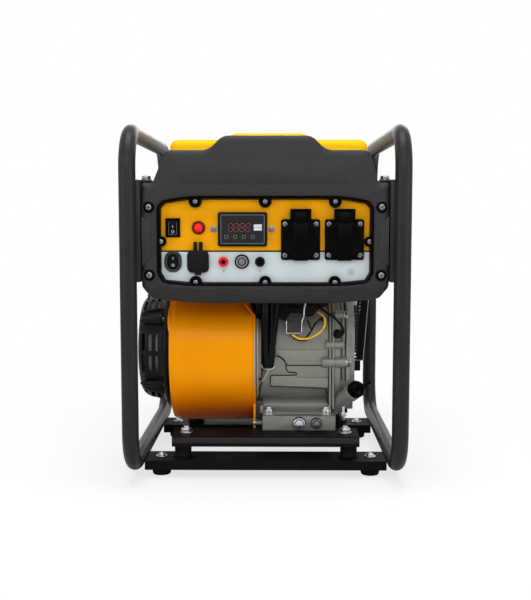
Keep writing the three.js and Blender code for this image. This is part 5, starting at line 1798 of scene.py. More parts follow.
    def usb(self) -> None:
        """The USB port and its rubber cover with a framed pad and two straps."""
        self.soften("usb_port", SMOOTH_PLASTIC, 0.4)
        extent = Extent.of("usb_cover")
        x, width = float(extent.middle[0]), extent.high[0] - extent.low[0]
        port = Extent.of("usb_port").middle[2]
        near, far = self.face - 2.6, extent.low[1]
        half = width / 2
        corners = [(x + half, port + half), (x - half, port + half), (x - half, port - half),
                   (x + half, port - half)]
        cap = prism(softened(corners, 7.5, 6), Y, near, far + 0.6, 1.2)
        pad = plaque((x, port), (width - 9, width - 9, 3.4), near, far, 0.5)
        panel, top = self.face - 0.4, extent.high[2]
        straps = [block((x + dx - 2.2, far + 0.9, port + half - 3), (x + dx + 2.2, panel, top), 0.8)
                  for dx in (-3.7, 3.7)]
        tab = block((x - 4.4, far + 0.8, port - half - 3.0), (x + 4.4, far + 2.8, port - half + 2.0), 0.8)
        cover = joined([cap, pad, tab, *straps])
        self.piece("usb_cap", cover, COVER_RUBBER, "usb_cover", ("usb_cover",), sharp=40)

    def posts(self) -> None:
        """The two binding posts: knurled heads with a sunken socket."""
        self.keep("terminal_board", HOUSING_PLASTIC)
        for colour, finish in (("red", RED_PLASTIC), ("black", SMOOTH_PLASTIC)):
            node = f"terminal_knob_{colour}"
            f, (x, z) = self.face, self.centre(node)
            shape = stood(f, [(2.5, -0.4), (6.2, -0.4), (6.6, -1.2), (6.6, -9.0), (6.3, -12.4), (5.2, -14.0),
                              (3.9, -14.0), (3.2, -13.2), (3.0, -10.0), (2.5, -10.0)])
            knob = ribbed(shape, Y, (x, z), 18, 0.22, (0, 0, 1, 1, 1, 0, 0, 0, 0, 0), loop=True)
            self.piece(f"post_{colour}", knob, finish, node, (node,), sharp=45)
            pin = stood(f, [(0, -9.6), (2.2, -9.6), (2.2, -11.0), (1.2, -11.0), (1.2, -10.0), (0, -10.0)])
            self.piece(f"post_{colour}_pin", lathe(pin, Y, (x, z), 24), OUTLET_PLASTIC)

    def breaker(self) -> None:
        """The breaker's threaded collar, its bright ring and the push button."""
        x, z = self.centre("breaker")
        f = self.face
        collar = stood(f, [(4.9, 20), (5.9, 20), (5.9, -0.3), (9.4, -0.3), (9.4, -2.2), (8.6, -3.4),
                           (7.4, -3.8), (4.9, -3.8)])
        body = lathe(collar, Y, (x, z), 44, loop=True)
        self.piece("breaker_collar", body, SMOOTH_PLASTIC, replaces=("breaker",), sharp=40)
        ring = stood(f, [(5.6, -3.6), (5.6, -4.5), (7.2, -4.5), (7.5, -3.6)])
        self.piece("breaker_ring", lathe(ring, Y, (x, z), 44, loop=True), DARK_ZINC, sharp=40)
        extent = Extent.of("breaker_button")
        near, far = extent.high[1], extent.low[1]
        shape = [(0, near), (4.3, near), (4.3, far + 1.0), (3.6, far + 0.2), (0, far)]
        push = turned(shape, 0.5, Y, (x, z), 36)
        self.piece("breaker_push", push, BUTTON_GREY, "breaker_button", ("breaker_button",))

    def prints(self) -> None:
        """Plain marks on the panel: plus and minus at the posts and an earth sign by the outlets."""
        f = self.face
        near, far = f + 0.2, f - 0.06

        def bar(x: float, z: float, w: float, h: float) -> Skin:
            """A flat printed bar."""
            return prism(rounded_rectangle(w, h, min(w, h) * 0.2, (x, z), 3), Y, near, far)

        red, black = (self.centre(f"terminal_knob_{colour}")[0] for colour in ("red", "black"))
        (ex, ez), z = self.earth, self.signs
        marks = [bar(red, z, 2.6, 0.6), bar(red, z, 0.6, 2.6), bar(black, z, 2.6, 0.6)]
        marks += [frame_ring(circle(4.3, 36) + (ex, ez), circle(3.8, 36) + (ex, ez), Y, near, far)]
        marks += [bar(ex, ez + 1.5, 0.5, 2.6), bar(ex, ez + 0.1, 4.4, 0.5), bar(ex, ez - 1.0, 2.8, 0.5),
                  bar(ex, ez - 2.1, 1.2, 0.5)]
        self.piece("panel_marks", joined(marks), PRINT_BLACK)


# ---------------------------------------------------------------- fuel


@dataclass
class FuelSystem(Assembly):
    """The tank with its cap, the tap, the hose and the member that carries the tank."""

    shift: float = 4.0
    deck_half: float = 47.5
    shoulder: float = 457.5
    deck: float = 466.0
    rim: float = 7.0
    gauge_y: float = 78.0
    bolt_y: float = 120.0

    def build(self) -> None:
        """Makes the fuel system."""
        self.tank()
        self.cap()
        self.tap()
        self.soften("rear_cross_member", SHADE_DARKENED_BLACK, 1.0)

    def tank(self) -> None:
        """The tank: its section in (x, z) carried along Y, with round ends and a pressed seam."""
        extent = Extent.of("fuel_tank")
        half = extent.half[0] - self.rim
        low, front, rear = extent.low[2], extent.low[1], extent.high[1] - self.rim
        right = [(half, low + 1), (half, self.shoulder), (self.deck_half + 11, self.shoulder),
                 (self.deck_half, self.deck)]
        outline = softened(right + mirrored(right), [1, 13, 7, 8, 8, 7, 13, 1], 8) + (self.shift, 0.0)
        body = prism(outline, Y, front, rear, 9.0, 6)
        wide = half + self.rim
        back = rear + self.rim
        flange = rounded_rectangle(2 * wide, back - front, 16, (self.shift, (front + back) / 2), 8)
        seam = prism(flange, Z, low, low + 3, 1.2)
        d, top = self.deck, extent.high[2]
        mouth = [(22, d - 2), (22, top - 1), (21, top), (19.2, top), (19.2, d - 2)]
        neck = turned(mouth, 0.5, Z, (self.shift, 0.0), 48)
        self.piece("tank_shell", body + seam + neck, TANK_PAINT, replaces=("fuel_tank",), sharp=35)
        dial = stood(d, [(0, 2.2), (9.5, 2.2), (11.5, 0.6), (11.5, -1), (0, -1)])
        gauge = turned(dial, 0.8, Z, (self.shift, self.gauge_y), 40)
        self.piece("fuel_gauge", gauge, OUTLET_PLASTIC)
        bolts = [hex_bolt(Z, (self.shift + sx * (wide - 4.5), y, low + 3), 8.0, 3.4, 1.0, 5.6)
                 for sx in (-1, 1) for y in (-self.bolt_y, self.bolt_y)]
        self.piece("tank_bolts", joined(bolts), ZINC)

    def cap(self) -> None:
        """The fuel cap: a turned shell with finger ribs."""
        extent = Extent.of("fuel_cap")
        base, top = extent.low[2], extent.high[2]
        radius = extent.half[0]
        shape = [(23, base), (radius - 0.4, base), (radius, base + 1), (radius - 0.6, top - 2.4),
                 (radius - 3, top - 0.6), (radius - 6, top), (14, top), (12, top - 0.8), (0, top - 0.8)]
        skin = ribbed(shape, Z, tuple(extent.middle[:2]), 20, 1.3, (0, 1, 1, 1, 0.4, 0, 0, 0, 0))
        self.piece("tank_cap", skin, STARTER_PLASTIC, "fuel_cap", ("fuel_cap",), sharp=40)

    def tap(self) -> None:
        """The tap, its lever and the hose down to the carburettor."""
        self.soften("fuel_tap", CASTING, 0.8)
        self.soften("fuel_tap_lever", RED_PLASTIC, 0.8, "fuel_tap_lever")
        self.soften("fuel_hose", HOSE_RUBBER, 0.3, sharp=50)


# ---------------------------------------------------------------- engine


@dataclass
class Engine(Assembly):
    """The cast crankcase and its cover, the cylinder head behind, and the oil filler."""

    front: float = -95.0
    neck_foot: Triple = (102.0, -80.0, 91.0)
    neck_aim: Triple = (0.562, -0.634, 0.531)
    neck_length: float = 38.3
    cylinder_x: float = 47.0
    tilt: float = 25.0
    strip_foot: float = 84.0
    over_neck: float = 124.0
    stud: Pair = (109.5, -88.0)
    crank: Pair = (-20.0, 163.0)
    brow: tuple[Pair, ...] = ((0.0, 84.0), (0.0, 192.0), (8.0, 214.0), (31.0, 235.0))
    drain_plug: Pair = (46.5, 68.5)
    level_sensor: Pair = (70.5, 68.5)
    foot_nut_x: Pair = (4.4, 84.0)
    foot_nut_y: Pair = (-104.0, 42.0)
    cover_out: float = 147.6

    def build(self) -> None:
        """Makes the engine from the castings outwards."""
        self.soften("crankcase", CASTING, 1.2)
        self.soften("crankcase_cover", CASTING, 1.4)
        self.front_relief()
        self.flange_bolts()
        self.base_plugs()
        self.filler()
        self.head()
        for node, finish in (("spark_plug", ZINC), ("crankshaft", MACHINED), ("piston", MACHINED)):
            self.keep(node, finish)

    def face_line(self, points: Sequence[Pair], radius: float) -> Skin:
        """A raised bead on the front face through points in (x, z).

        Args:
            points: its corners.
            radius: the bead's radius.

        Returns:
            The bead.
        """
        curve = rounded_profile(points, 2.5, 5)
        path = placed(curve[:, 0], curve[:, 1], np.array(self.front), Y)
        return sweep(circle(radius, 10), path, up=(0, 1, 0))

    def flange_strip(self, x: float, size: Pair, rise: float) -> Skin:
        """An upright bar that follows the front face up and over its top, and starts above the filler neck.

        Args:
            x: its place along X.
            size: its width and thickness.
            rise: how far its middle stands before the face.

        Returns:
            The bar.
        """
        low = self.strip_foot if x < self.neck_foot[0] else self.over_neck
        over = rounded_profile([(self.front + back - rise, max(z, low)) for back, z in self.brow], 6.0, 6)
        path = placed(over[:, 0], over[:, 1], np.array(x), X)
        return sweep(rounded_rectangle(*size, min(size) / 3, (0, 0), 4), path, up=(1, 0, 0))

    def plate(self, points: Sequence[Pair], rise: float) -> Skin:
        """A raised flat on the front face with rounded corners."""
        return prism(softened(points, 4.0, 5), Y, self.front + 0.6, self.front - rise, min(1.2, rise * 0.7))

    def front_relief(self) -> None:
        """The raised flats of the crankcase's front face, dark beads of painted shade along their edges and
        grooves, and the flange's strips.
        """
        upper = [(28.6, 147.0), (30.3, 146.1), (84, 146.1), (84, 168.4), (13, 168.4), (8, 166), (13.6, 158.6),
                 (23.3, 156.8)]
        lower = [(6.5, 131.8), (43.1, 131.8), (43.1, 128.5), (88.5, 128.5), (88.5, 113.5), (53.4, 114.8),
                 (6.0, 116.5)]
        lines = [[(11.5, 158.6), (19.0, 158.8), (26.0, 154.0), (28.6, 148.0), (30.3, 146.1), (84.0, 146.2)],
                 [(28.6, 147.5), (28.6, 139.8), (31.5, 136.1), (43.1, 135.9), (43.1, 131.8), (6.5, 131.8),
                  (6.0, 116.5), (53.4, 114.8), (83.1, 113.5), (86.3, 109.5), (86.4, 94.0)]]
        self.piece("crankcase_relief", self.plate(upper, 1.3) + self.plate(lower, 1.3), CASTING)
        # Dark beads along the flats' edges, beside the flange strips and under the top: painted shade.
        shade_lines = [self.face_line(line, 0.75).moved(y=-1.1) for line in lines]
        grooves = ((88.5, 1.8), (92.7, 2.2), (106.9, -0.1), (112.4, -1.6))
        shade_lines += [self.flange_strip(x, (1.5, 1.5), rise) for x, rise in grooves]
        shade_lines.append(self.face_line([(16.0, 166.2), (50.0, 166.0)], 0.35))
        self.piece("crankcase_parting_lines", joined(shade_lines), PAINTED_SHADE_LINE)
        bars = ((90.6, (3.4, 4.0), 0.8), (94.9, (3.2, 4.0), 1.5), (115.8, (5.6, 4.0), -1.6))
        strips = [self.flange_strip(x, size, rise) for x, size, rise in bars]
        self.piece("crankcase_flange_strips", joined(strips), CASTING)
        steps = ((20, 78.4), (-16, 78.4), (-13, 82), (-3, 85), (2, 95), (20, 97))
        fillet = [(self.front + step, z) for step, z in steps]
        shelf = prism(softened(fillet, [1, 3, 4, 6, 6, 1], 5), X, -5.0, 88.0, 1.6)
        sides = joined([block((x - 2.4, self.front - 9.0, 79.0), (x + 2.4, self.front + 6.0, 90.0), 1.6)
                        for x in (-6.0, 88.0)])
        self.piece("crankcase_foot_fillet", shelf + sides, CASTING)
        # The bell ring stands out beside the drum in the lighter casting, a painted highlight on that strip.
        bell = [(90.0, -13.4), (97.2, -13.4), (98.2, -12.6), (98.2, -11.2), (97.2, -10.4), (90.0, -10.4)]
        self.piece("bell_ring", lathe(bell, X, self.crank, 72, loop=True), PALE_CAST_AND_HIGHLIGHT)

    def flange_bolts(self) -> None:
        """The bolts through the cover's bosses, those round the cover and the upright stud below it."""
        bosses = [((112.8, self.front + 1.0, 150.5), 11.4, 5.6), ((110.2, -86.0, 217.0), 8.6, 4.2)]
        heads = [hex_bolt(X, at, across, height, 1.0, across * 0.62) for at, across, height in bosses]
        self.piece("cover_boss_bolts", joined(heads), ZINC)
        rim = [(-78.0, 101.0), (-40.0, 88.0), (8.0, 88.0), (34.0, 108.0), (45.0, 150.0), (45.0, 205.0),
               (0.0, 233.0), (-50.0, 231.0)]
        face = Extent.of("crankcase_cover").low[0] + 28.0
        studs = [hex_bolt(X, (face, y, z), 8.0, 4.0, 1.0, 5.6) for y, z in rim]
        self.piece("cover_rim_bolts", joined(studs), ZINC)
        shaft = stood(face, [(0, 0), (21, 0), (21, 2.4), (17, 4.2), (11, 4.2), (10, 2.0), (0, 2.0)])
        self.piece("cover_bearing_boss", turned(shaft, 0.8, X, self.crank, 48), CASTING)
        stud = rod(2.7, self.stud, Z, 66.0, 86.0, 0.6) + hex_bolt(Z, (*self.stud, 72.0), 8.0, 4.0, 1.0, 5.4)
        self.piece("cover_upright_stud", stud, ZINC)

    def base_plugs(self) -> None:
        """The drain plug and the level sensor beside it, on the foot's front edge, dark rings of painted
        shade round their seats, and the foot's nuts.
        """
        face = Extent.of("crankcase").low[1] + 5.0
        shade_rings = []
        plugs = ((self.drain_plug, 8.2, 10.6, ZINC), (self.level_sensor, 7.2, 8.6, BLUE_ZINC))
        for at, seat, across, finish in plugs:
            flange = stood(face, [(0, 0.6), (seat, 0.6), (seat, -5.0), (seat - 0.8, -5.6), (0, -5.6)])
            head = hex_bolt(Y, (at[0], face - 5.5, at[1]), across, 2.6, -1.0)
            self.piece(f"foot_plug_{len(shade_rings)}", lathe(flange, Y, at, 36) + head, finish, sharp=30)
            # Dark rings round each flange and head: painted shade in the seat's recess.
            for radius, width in ((seat + 0.1, 1.0), (across / 2 + 0.3, 0.9)):
                near = face + 0.6 - 6.2 * (radius < seat)
                far = face - 0.8 - 5.1 * (radius < seat)
                line = [(radius, near), (radius, far), (radius + width, far), (radius + width, near)]
                shade_rings.append(lathe(line, Y, at, 36, loop=True))
        self.piece("plug_seats", joined(shade_rings), PAINTED_SHADE_LINE)
        places = [(x, y) for x in self.foot_nut_x for y in self.foot_nut_y]
        nuts = []
        for at in places:
            nuts += [hex_bolt(Z, (*at, 78.5), 13.0, 5.6, 1.0, 9.6), rod(3.8, at, Z, 84.0, 89.0, 0.8)]
        self.piece("engine_foot_nuts", joined(nuts), ZINC)

    def filler(self) -> None:
        """The oil filler's collar and its cap with a bow handle."""
        start = self.neck_length
        sleeve = stood(start, [(7, -9), (12.4, -9), (12.4, -1.2), (7, -1.2)])
        collar = turned(sleeve, 0.9, Y, (0, 0), 44)
        self.piece("filler_collar", collar.aimed(self.neck_aim, self.neck_foot), CASTING)
        shape = stood(start, [(0, -0.4), (11.0, -0.4), (12.2, 1.2), (12.2, 9.0), (11.3, 10.4), (8.8, 10.9),
                              (7.8, 9.8), (0, 9.4)])
        disc = ribbed(shape, Y, (0.0, 0.0), 16, 1.0, (0, 0.2, 1, 1, 0.3, 0, 0, 0))
        turn = np.linspace(0.0, math.pi, 26)
        bow = placed(8.6 * np.cos(turn), start + 9.2 + 9.5 * np.sin(turn) ** 0.8, np.zeros(26), Z)
        handle = sweep(rounded_rectangle(5.0, 2.6, 1.0, (0, 0), 4), bow, up=(0, 0, 1))
        stick = rod(2.3, (0.0, 0.0), Y, start - 34, start, 0.8, 16)
        cap = (disc + handle + stick).turned(Y, 38.0)
        top = np.array(self.neck_foot) + (start + 10.0) * np.array(self.neck_aim)
        steps = np.array([(-4.0, 0.5, -2.0), (3.0, -2.5, 1.5), (10.0, -3.0, 4.8), (17.5, -2.0, 9.4)])
        reach = (top + steps).tolist()
        lever = sweep(rounded_rectangle(4.6, 4.6, 1.6, (0, 0), 4), smooth_path(reach, 16), up=(0, 1, 0))
        self.piece("filler_cap_lever", lever, OUTLET_PLASTIC, "oil_filler_cap", sharp=45)
        cap = cap.aimed(self.neck_aim, self.neck_foot)
        self.piece("filler_cap", cap, OUTLET_PLASTIC, "oil_filler_cap", ("oil_filler_cap",), sharp=45)

    def along(self, out: float, up: float) -> Pair:
        """A place in (y, z) given as a distance out along the cylinder and up across it.

        Args:
            out: the distance out from the crankshaft.
            up: the distance across, upwards.

        Returns:
            The place.
        """
        angle = math.radians(self.tilt)
        y = out * math.cos(angle) - up * math.sin(angle)
        z = out * math.sin(angle) + up * math.cos(angle)
        return self.crank[0] + y, self.crank[1] + z

    def head(self) -> None:
        """The cylinder head, the valve cover and the cover's bolts, which point along the cylinder."""
        self.soften("cylinder_head", CASTING, 0.6)
        self.soften("valve_cover", CASTING, 2.5)
        heads = []
        for dx in (-24.0, 24.0):
            for up in (-20.0, 20.0):
                y, z = self.along(self.cover_out, up)
                bolt = hex_bolt(Y, (0.0, 0.0, 0.0), 8.0, 4.0, 1.0, 5.4).turned(X, self.tilt)
                heads.append(bolt.moved(self.cylinder_x + dx + 6.0, y, z))
        self.piece("valve_cover_bolts", joined(heads), ZINC)


# ---------------------------------------------------------------- alternator


@dataclass
class Alternator(Assembly):
    """The amber fan shroud with the rotor and stator inside it."""

    centre: Pair = (-20.0, 163.0)
    wall: float = 3.6
    intake: float = 70.0
    bore: float = 86.0
    rear_corner: float = 24.0
    gap: float = 4.6
    cut_from: float = 218.5
    cut_height: float = 13.0
    cut_back: float = 11.0
    cut_depth: float = 14.0
    tab: tuple[Pair, Pair] = ((-102.0, -96.0), (56.0, 94.0))
    web: tuple[Pair, Pair] = ((-98.5, -95.5), (68.8, 96.0))
    stub: Pair = (-100.0, 64.6)
    stub_radius: float = 3.4
    stub_length: float = 9.0
    extent: Extent = field(init=False)

    def __post_init__(self) -> None:
        """Reads the shroud's place."""
        self.extent = Extent.of("fan_shroud")

    def outline(self) -> Array:
        """The shroud's section in (y, z): a circle whose upper rear quarter runs out to a rounded corner.

        Returns:
            The section.
        """
        radius = self.extent.half[2]
        rear = self.extent.high[1] - self.centre[0]
        corner, low = self.rear_corner, math.acos(rear / radius)
        arc = np.linspace(math.pi / 2, TURN - low, 150)
        turn = np.linspace(0.0, math.pi / 2, 10)
        bend = corner * unit(turn) + (rear - corner, radius - corner)
        return np.vstack([radius * unit(arc), bend]) + np.array(self.centre)

    def build(self) -> None:
        """Makes the shroud and finishes what turns inside it."""
        x0, x1 = self.extent.low[0] + self.gap, self.extent.high[0]
        self.shell(x0, x1)
        self.edge_arc("shroud_ear", (18.5, 41.0), 103.6, x0 + 0.3, 2.9, SHROUD_PAINT)
        # A pale bead along the middle of the open rim: a painted highlight, thickest where the rim catches
        # the light.
        self.edge_arc("shroud_lip_light", (-26.0, 20.0), 108.6, x1 - 0.9, 1.1, PALE_CAST_AND_HIGHLIGHT)
        self.fittings(x1)
        self.keep("rotor", CASTING)
        self.keep("stator", COPPER)

    def shell(self, x0: float, x1: float) -> None:
        """The shell: rings from the intake over the outside to the open rim and back inside the wall.

        Each ring is the section inset by some distance and met by rays from the crankshaft.

        Args:
            x0: place of the face round the intake.
            x1: place of the open rim.
        """
        outer = self.outline()
        angles = bearings([outer[::6]], self.centre, 180)
        hole, bore = (circle(radius, 120) + self.centre for radius in (self.intake, self.bore))
        outside = [(4.6, x0), (3.4, x0 + 0.3), (2.7, x0 + 1.3), (2.5, x0 + 4.4), (2.0, x0 + 5.2),
                   (1.2, x0 + 6.4), (0.6, x0 + 8.0), (0.2, x0 + 11.0), (0.2, x0 + 18.0), (0.2, x1 - 13.0),
                   (0.7, x1 - 6.5), (1.8, x1 - 5.0), (2.0, x1 - 4.0), (0.6, x1 - 3.4), (0.0, x1 - 2.6),
                   (0.0, x1 - 0.6), (0.7, x1)]
        inside = [(6.0, x1 - 7.0), (4.4, x1 - 12.0), (4.4, x0 + 12.0), (7.8, x0 + 6.0), (9.4, x0 + self.wall)]
        rings = [(hole, x0 + self.wall), (hole, x0 + 1.0), (inset(hole, -1.0), x0)]
        rings += [(inset(outer, amount), at) for amount, at in outside] + [(bore, x1), (bore, x1 - 5.0)]
        rings += [(inset(outer, amount), at) for amount, at in inside]
        stack = np.array([rays(shape, self.centre, angles) for shape, _ in rings])
        at = np.array([place for _, place in rings])[:, None]
        cut = np.clip((stack[..., 1] - self.cut_from) / self.cut_height, 0.0, 1.3)
        skin = stacked(stack, at - self.cut_back * cut * (at > x1 - self.cut_depth), X, loop=True)
        self.piece("shroud_shell", skin, SHROUD_PAINT, replaces=("fan_shroud",), sharp=40)

    def edge_arc(self, name: str, degrees: Pair, radius: float, x: float, thick: float,
                 finish: Finish) -> None:
        """A bead along part of the shroud's front edge: a circle swept along an arc, thickest in the middle.

        Args:
            name: the bead's name.
            degrees: where it starts and ends, above the level of the crankshaft.
            radius: the arc's radius.
            x: its place along the shroud.
            thick: the bead's greatest radius.
            finish: its finish.
        """
        turn = np.radians(np.linspace(*degrees, 26))
        y, z = self.centre[0] - radius * np.cos(turn), self.centre[1] + radius * np.sin(turn)
        path = placed(y, z, np.array(x), X)
        swell = 0.15 + 0.85 * np.clip(np.sin(np.linspace(0.0, math.pi, 26)), 0.0, 1.0) ** 0.6
        self.piece(name, sweep(circle(thick, 14), path, up=(1, 0, 0), scale=swell), finish, sharp=60)

    def fittings(self, x1: float) -> None:
        """The tab with its bolt at the lower right, the stub that it is screwed to, and a dark web past the
        rim as painted shade.

        Args:
            x1: place of the open rim.
        """
        (y0, y1), (z0, z1) = self.tab
        tab = block((x1 - 3.4, y0, z0), (x1 - 0.4, y1, z1), 0.8)
        self.piece("shroud_tab", tab, SHROUD_PAINT)
        self.piece("shroud_tab_bolt", hex_bolt(Y, (x1 - 1.9, y0, self.stub[1]), 4.6, 2.2, -1.0), ZINC)
        stub = rod(self.stub_radius, self.stub, X, x1 - 0.4, x1 + self.stub_length, 0.5, 24)
        self.piece("foot_stub", stub, CASTING)
        # The web is dark steel as painted shade, for the shadow between the shroud and the crankcase.
        (y0, y1), (z0, z1) = self.web
        web = block((x1 - 3.0, y0, z0), (x1 + self.stub_length + 0.6, y1, z1), 0.6)
        self.piece("shroud_seal_web", web, DARK_STEEL)


# ---------------------------------------------------------------- recoil starter


@dataclass
class RecoilStarter(Assembly):
    """The slotted starter cover with its reel, rope and grip."""

    centre: Pair = (-20.0, 163.0)
    wall: float = 2.6
    sectors: int = 5
    sector_half: float = 24.0
    slot: Pair = (2.5, 21.5)
    recess: float = 0.055
    step: float = 0.7
    flat_from: float = 62.0
    flat_run: float = 12.0
    foot_clear: float = 5.8
    foot_run: float = 3.0
    columns: Array = field(default_factory=lambda: np.array([6.4, 11.2, 16.2, 21.0, 25.8, 30.2]))
    vents: tuple[Pair, Pair] = ((20.0, 30.0), (35.0, 45.0))
    rope: float = 2.0
    rope_ring: float = 32.6
    lug_ring: float = 77.0
    guide: Pair = (-152.0, 199.0)
    rope_turns: int = 2

    def build(self) -> None:
        """Makes the starter."""
        self.cover()
        self.fittings()
        self.arms()
        self.reel()
        self.pull()

    def cover(self) -> None:
        """The cup: a profile turned about X as a sheet, with flattened sectors, slots and vents."""
        extent = Extent.of("recoil_cover")
        face, foot = extent.low[0], extent.high[0]
        rim = extent.half[2]
        front = [(11.0, 0), (61.0, 0), (65.0, 0.7), (70.0, 3.0), (73.6, 6.2), (76.0, 9.0), (78.0, 14.0),
                 (80.0, 24.0), (81.4, 31.0)]
        rear = [(82.2, -8.0), (83.4, -5.6), (rim - 1.0, -5.0), (rim, -4.2), (rim, 0)]
        profile = np.array(stood(face, front) + stood(foot, rear))
        length = np.concatenate([[0.0], np.cumsum(np.hypot(*np.diff(profile, axis=0).T))])
        edges = np.interp(face + self.columns, profile[3:10, 1], length[3:10]).reshape(-1, 2)
        openings = [tuple(pair) for pair in edges.tolist()] + list(self.vents)
        along, in_side = stations(0.0, length[-1], openings, 3.0)
        half, near, far = self.sector_half, *self.slot
        pitch = 360.0 / self.sectors
        middles = [pitch * sector for sector in range(self.sectors)]
        slots = [(at + low, at + low + far - near) for at in middles for low in (-far, near)]
        steps = [(at + side * half - self.step, at + side * half + self.step)
                 for at in middles for side in (-1, 1)]
        around, _ = stations(-pitch / 2, 360.0 - pitch / 2, slots + steps, 3.0)
        middle = (around[:-1] + around[1:]) / 2
        low, high = np.array(slots).T
        in_slot = np.any((middle[:, None] > low) & (middle[:, None] < high), axis=1)
        off = np.abs((around[:-1] + pitch / 2) % pitch - pitch / 2)
        flat = (math.cos(math.radians(half)) / np.cos(np.radians(np.minimum(off, half)))) ** 0.35
        swell = flat - self.recess * np.clip((off - half + self.step) / (2 * self.step), 0.0, 1.0)
        radius = np.interp(along, length, profile[:, 0])
        place = np.interp(along, length, profile[:, 1])
        outside = np.clip((radius - self.flat_from) / self.flat_run, 0.0, 1.0)
        share = outside * np.clip((foot - self.foot_clear - place) / self.foot_run, 0.0, 1.0)
        grow = 1 + share[:, None] * (swell[None, :] - 1)
        tangent = unit_rows(np.gradient(np.stack([radius, place], -1), along, axis=0))
        turn = np.radians(around[:-1] + 180.0)[None, :]

        def side_of(inward: float) -> Array:
            """One side of the sheet.

            Args:
                inward: how far inside the outer face it lies.

            Returns:
                Its points.
            """
            r = radius[:, None] * grow - inward * tangent[:, 1:]
            x = place + inward * np.maximum(tangent[:, 0], 0.0)
            y, z = self.centre[0] + r * np.cos(turn), self.centre[1] + r * np.sin(turn)
            return placed(y, z, x[:, None], X)

        solid = ~(in_side[:, None] & in_slot[None, :])
        skin = sheet_metal(side_of(0.0), side_of(self.wall), solid, ring=True)
        self.piece("starter_cover", skin, STARTER_PLASTIC, replaces=("recoil_cover",), sharp=38, edge=0.5)

    def fittings(self) -> None:
        """The cover's hub, the bright guard band behind its slots and the ring it seats on."""
        extent = Extent.of("recoil_cover")
        face, foot, rim = extent.low[0], extent.high[0], extent.half[2]
        hub = stood(face, [(0, 29.0), (6.6, 29.0), (6.6, 4), (14.0, 3.2), (14.0, 0.4), (10.0, 0), (0, 0)])
        self.piece("starter_hub", turned(hub, 0.6, X, self.centre, 36), STARTER_PLASTIC)
        band = self.hoop((65.4, 66.6), (face + 13.0, face + 33.0))
        self.piece("starter_guard_band", band, CASTING)
        seat = self.hoop((76.0, rim - 2.0), (foot - 0.5, foot + 4.8))
        self.piece("starter_seat_ring", seat, SMOOTH_PLASTIC)

    def hoop(self, radii: Pair, places: Pair) -> Skin:
        """A plain ring round the crankshaft's axis between two radii and two places."""
        (low, high), (start, end) = radii, places
        return lathe([(low, start), (high, start), (high, end), (low, end)], X, self.centre, 72, loop=True)

    def arms(self) -> None:
        """The tapered lugs between the sectors with the screws that hold the cover, and the rope guide."""
        foot = Extent.of("recoil_cover").high[0]
        lugs, screws = [], []
        for sector in range(self.sectors):
            angle = math.radians(360.0 / self.sectors * (sector + 0.5) + 180.0)
            y = self.centre[0] + self.lug_ring * math.cos(angle)
            z = self.centre[1] + self.lug_ring * math.sin(angle)
            cone = stood(foot, [(0, -41.0), (1.6, -41.0), (3.4, -36.0), (8.4, -10.5), (8.4, -7.5), (0, -7.5)])
            lugs.append(turned(cone, 0.9, X, (y, z), 28))
            screws.append(hex_bolt(X, (foot - 7.4, y, z), 7.6, 2.6, 1.0, 5.2))
        sleeve = [(3.1, 40.0), (8.6, 40.0), (8.6, 56.5), (9.6, 57.6), (9.6, 59.7), (4.4, 59.7), (3.1, 58.6)]
        guide = lathe(rounded_profile(sleeve, 0.6), Y, self.guide, 32, loop=True)
        self.piece("starter_lugs", joined(lugs + [guide]), STARTER_PLASTIC, sharp=40)
        self.piece("starter_lug_screws", joined(screws), ZINC)

    def reel(self) -> None:
        """The rope reel: two pale metal flanges with wound rope between them."""
        extent = Extent.of("starter_reel")
        x0, x1 = extent.low[0], extent.high[0]
        radius = extent.half[2]
        shape = [(7.6, x0), (radius - 0.4, x0), (radius, x0 + 0.6), (radius, x0 + 1.8),
                 (radius - 1, x0 + 2.2), (30, x0 + 2.2), (30, x1 - 2.2), (radius - 1, x1 - 2.2),
                 (radius, x1 - 1.8), (radius, x1 - 0.6), (radius - 0.4, x1), (7.6, x1)]
        spoke = prism(softened([(18, -3), (40, -2), (40, 2), (18, 3)], 1.4, 4), X, x0 + 0.2, x0 - 0.9, 0.4)
        spokes = [spoke.turned(X, 60.0 * i).moved(0, *self.centre) for i in range(6)]
        reel = lathe(shape, X, self.centre, 64, loop=True)
        flanges = joined([reel, *spokes])
        self.piece("reel_flanges", flanges, MACHINED, "starter_reel", ("starter_reel",), sharp=40)
        turn = np.linspace(0.0, TURN * self.rope_turns, self.rope_turns * 60)
        wound = self.rope_ring * unit(turn) + self.centre
        path = placed(wound[:, 0], wound[:, 1], np.linspace(x0 + 4.4, x1 - 4.4, len(turn)), X)
        rope = sweep(circle(self.rope, 10), path, up=(1, 0, 0))
        self.piece("reel_rope", rope, HOSE_RUBBER, "starter_reel")

    def pull(self) -> None:
        """The grip: a waisted bar with a collar, and the rope that stretches out of the guide behind it."""
        extent = Extent.of("starter_grip")
        x, z = float(extent.middle[0]), float(extent.middle[2])
        y = extent.high[1] - 10.0
        half = extent.half[2]
        lift = np.linspace(-1.0, 1.0, 25)
        barrel = 7.9 + 2.1 * np.abs(lift) ** 1.6
        sides = zip(np.where(np.abs(lift) > 0.99, 7.6, barrel), z + half * lift)
        shape = [(0, z - half), *sides, (0, z + half)]
        bar = lathe(rounded_profile(shape, 0.9, 3), Z, (x, y), 36)
        tip = extent.low[1]
        collar = [(0, tip + 14.2), (5.2, tip + 14.2), (6.8, tip + 15.4), (6.2, tip + 19), (6.8, y), (0, y)]
        neck = lathe(collar, Y, (x, z), 30)
        self.piece("grip_bar", bar + neck, COVER_RUBBER, "starter_grip", ("starter_grip",), sharp=45)
        stops = np.linspace(tip - 4.0, tip + 16.0, 24)
        twist = 1 + 0.06 * np.cos(stops * 3.4)
        path = placed(np.array(x), np.array(z), stops, Y)
        cord = sweep(circle(self.rope, 12), path, up=(1, 0, 0), scale=twist)
        rope = self.piece("grip_rope", cord, HOSE_RUBBER, "")
        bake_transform(rope)


# ---------------------------------------------------------------- exhaust and intake


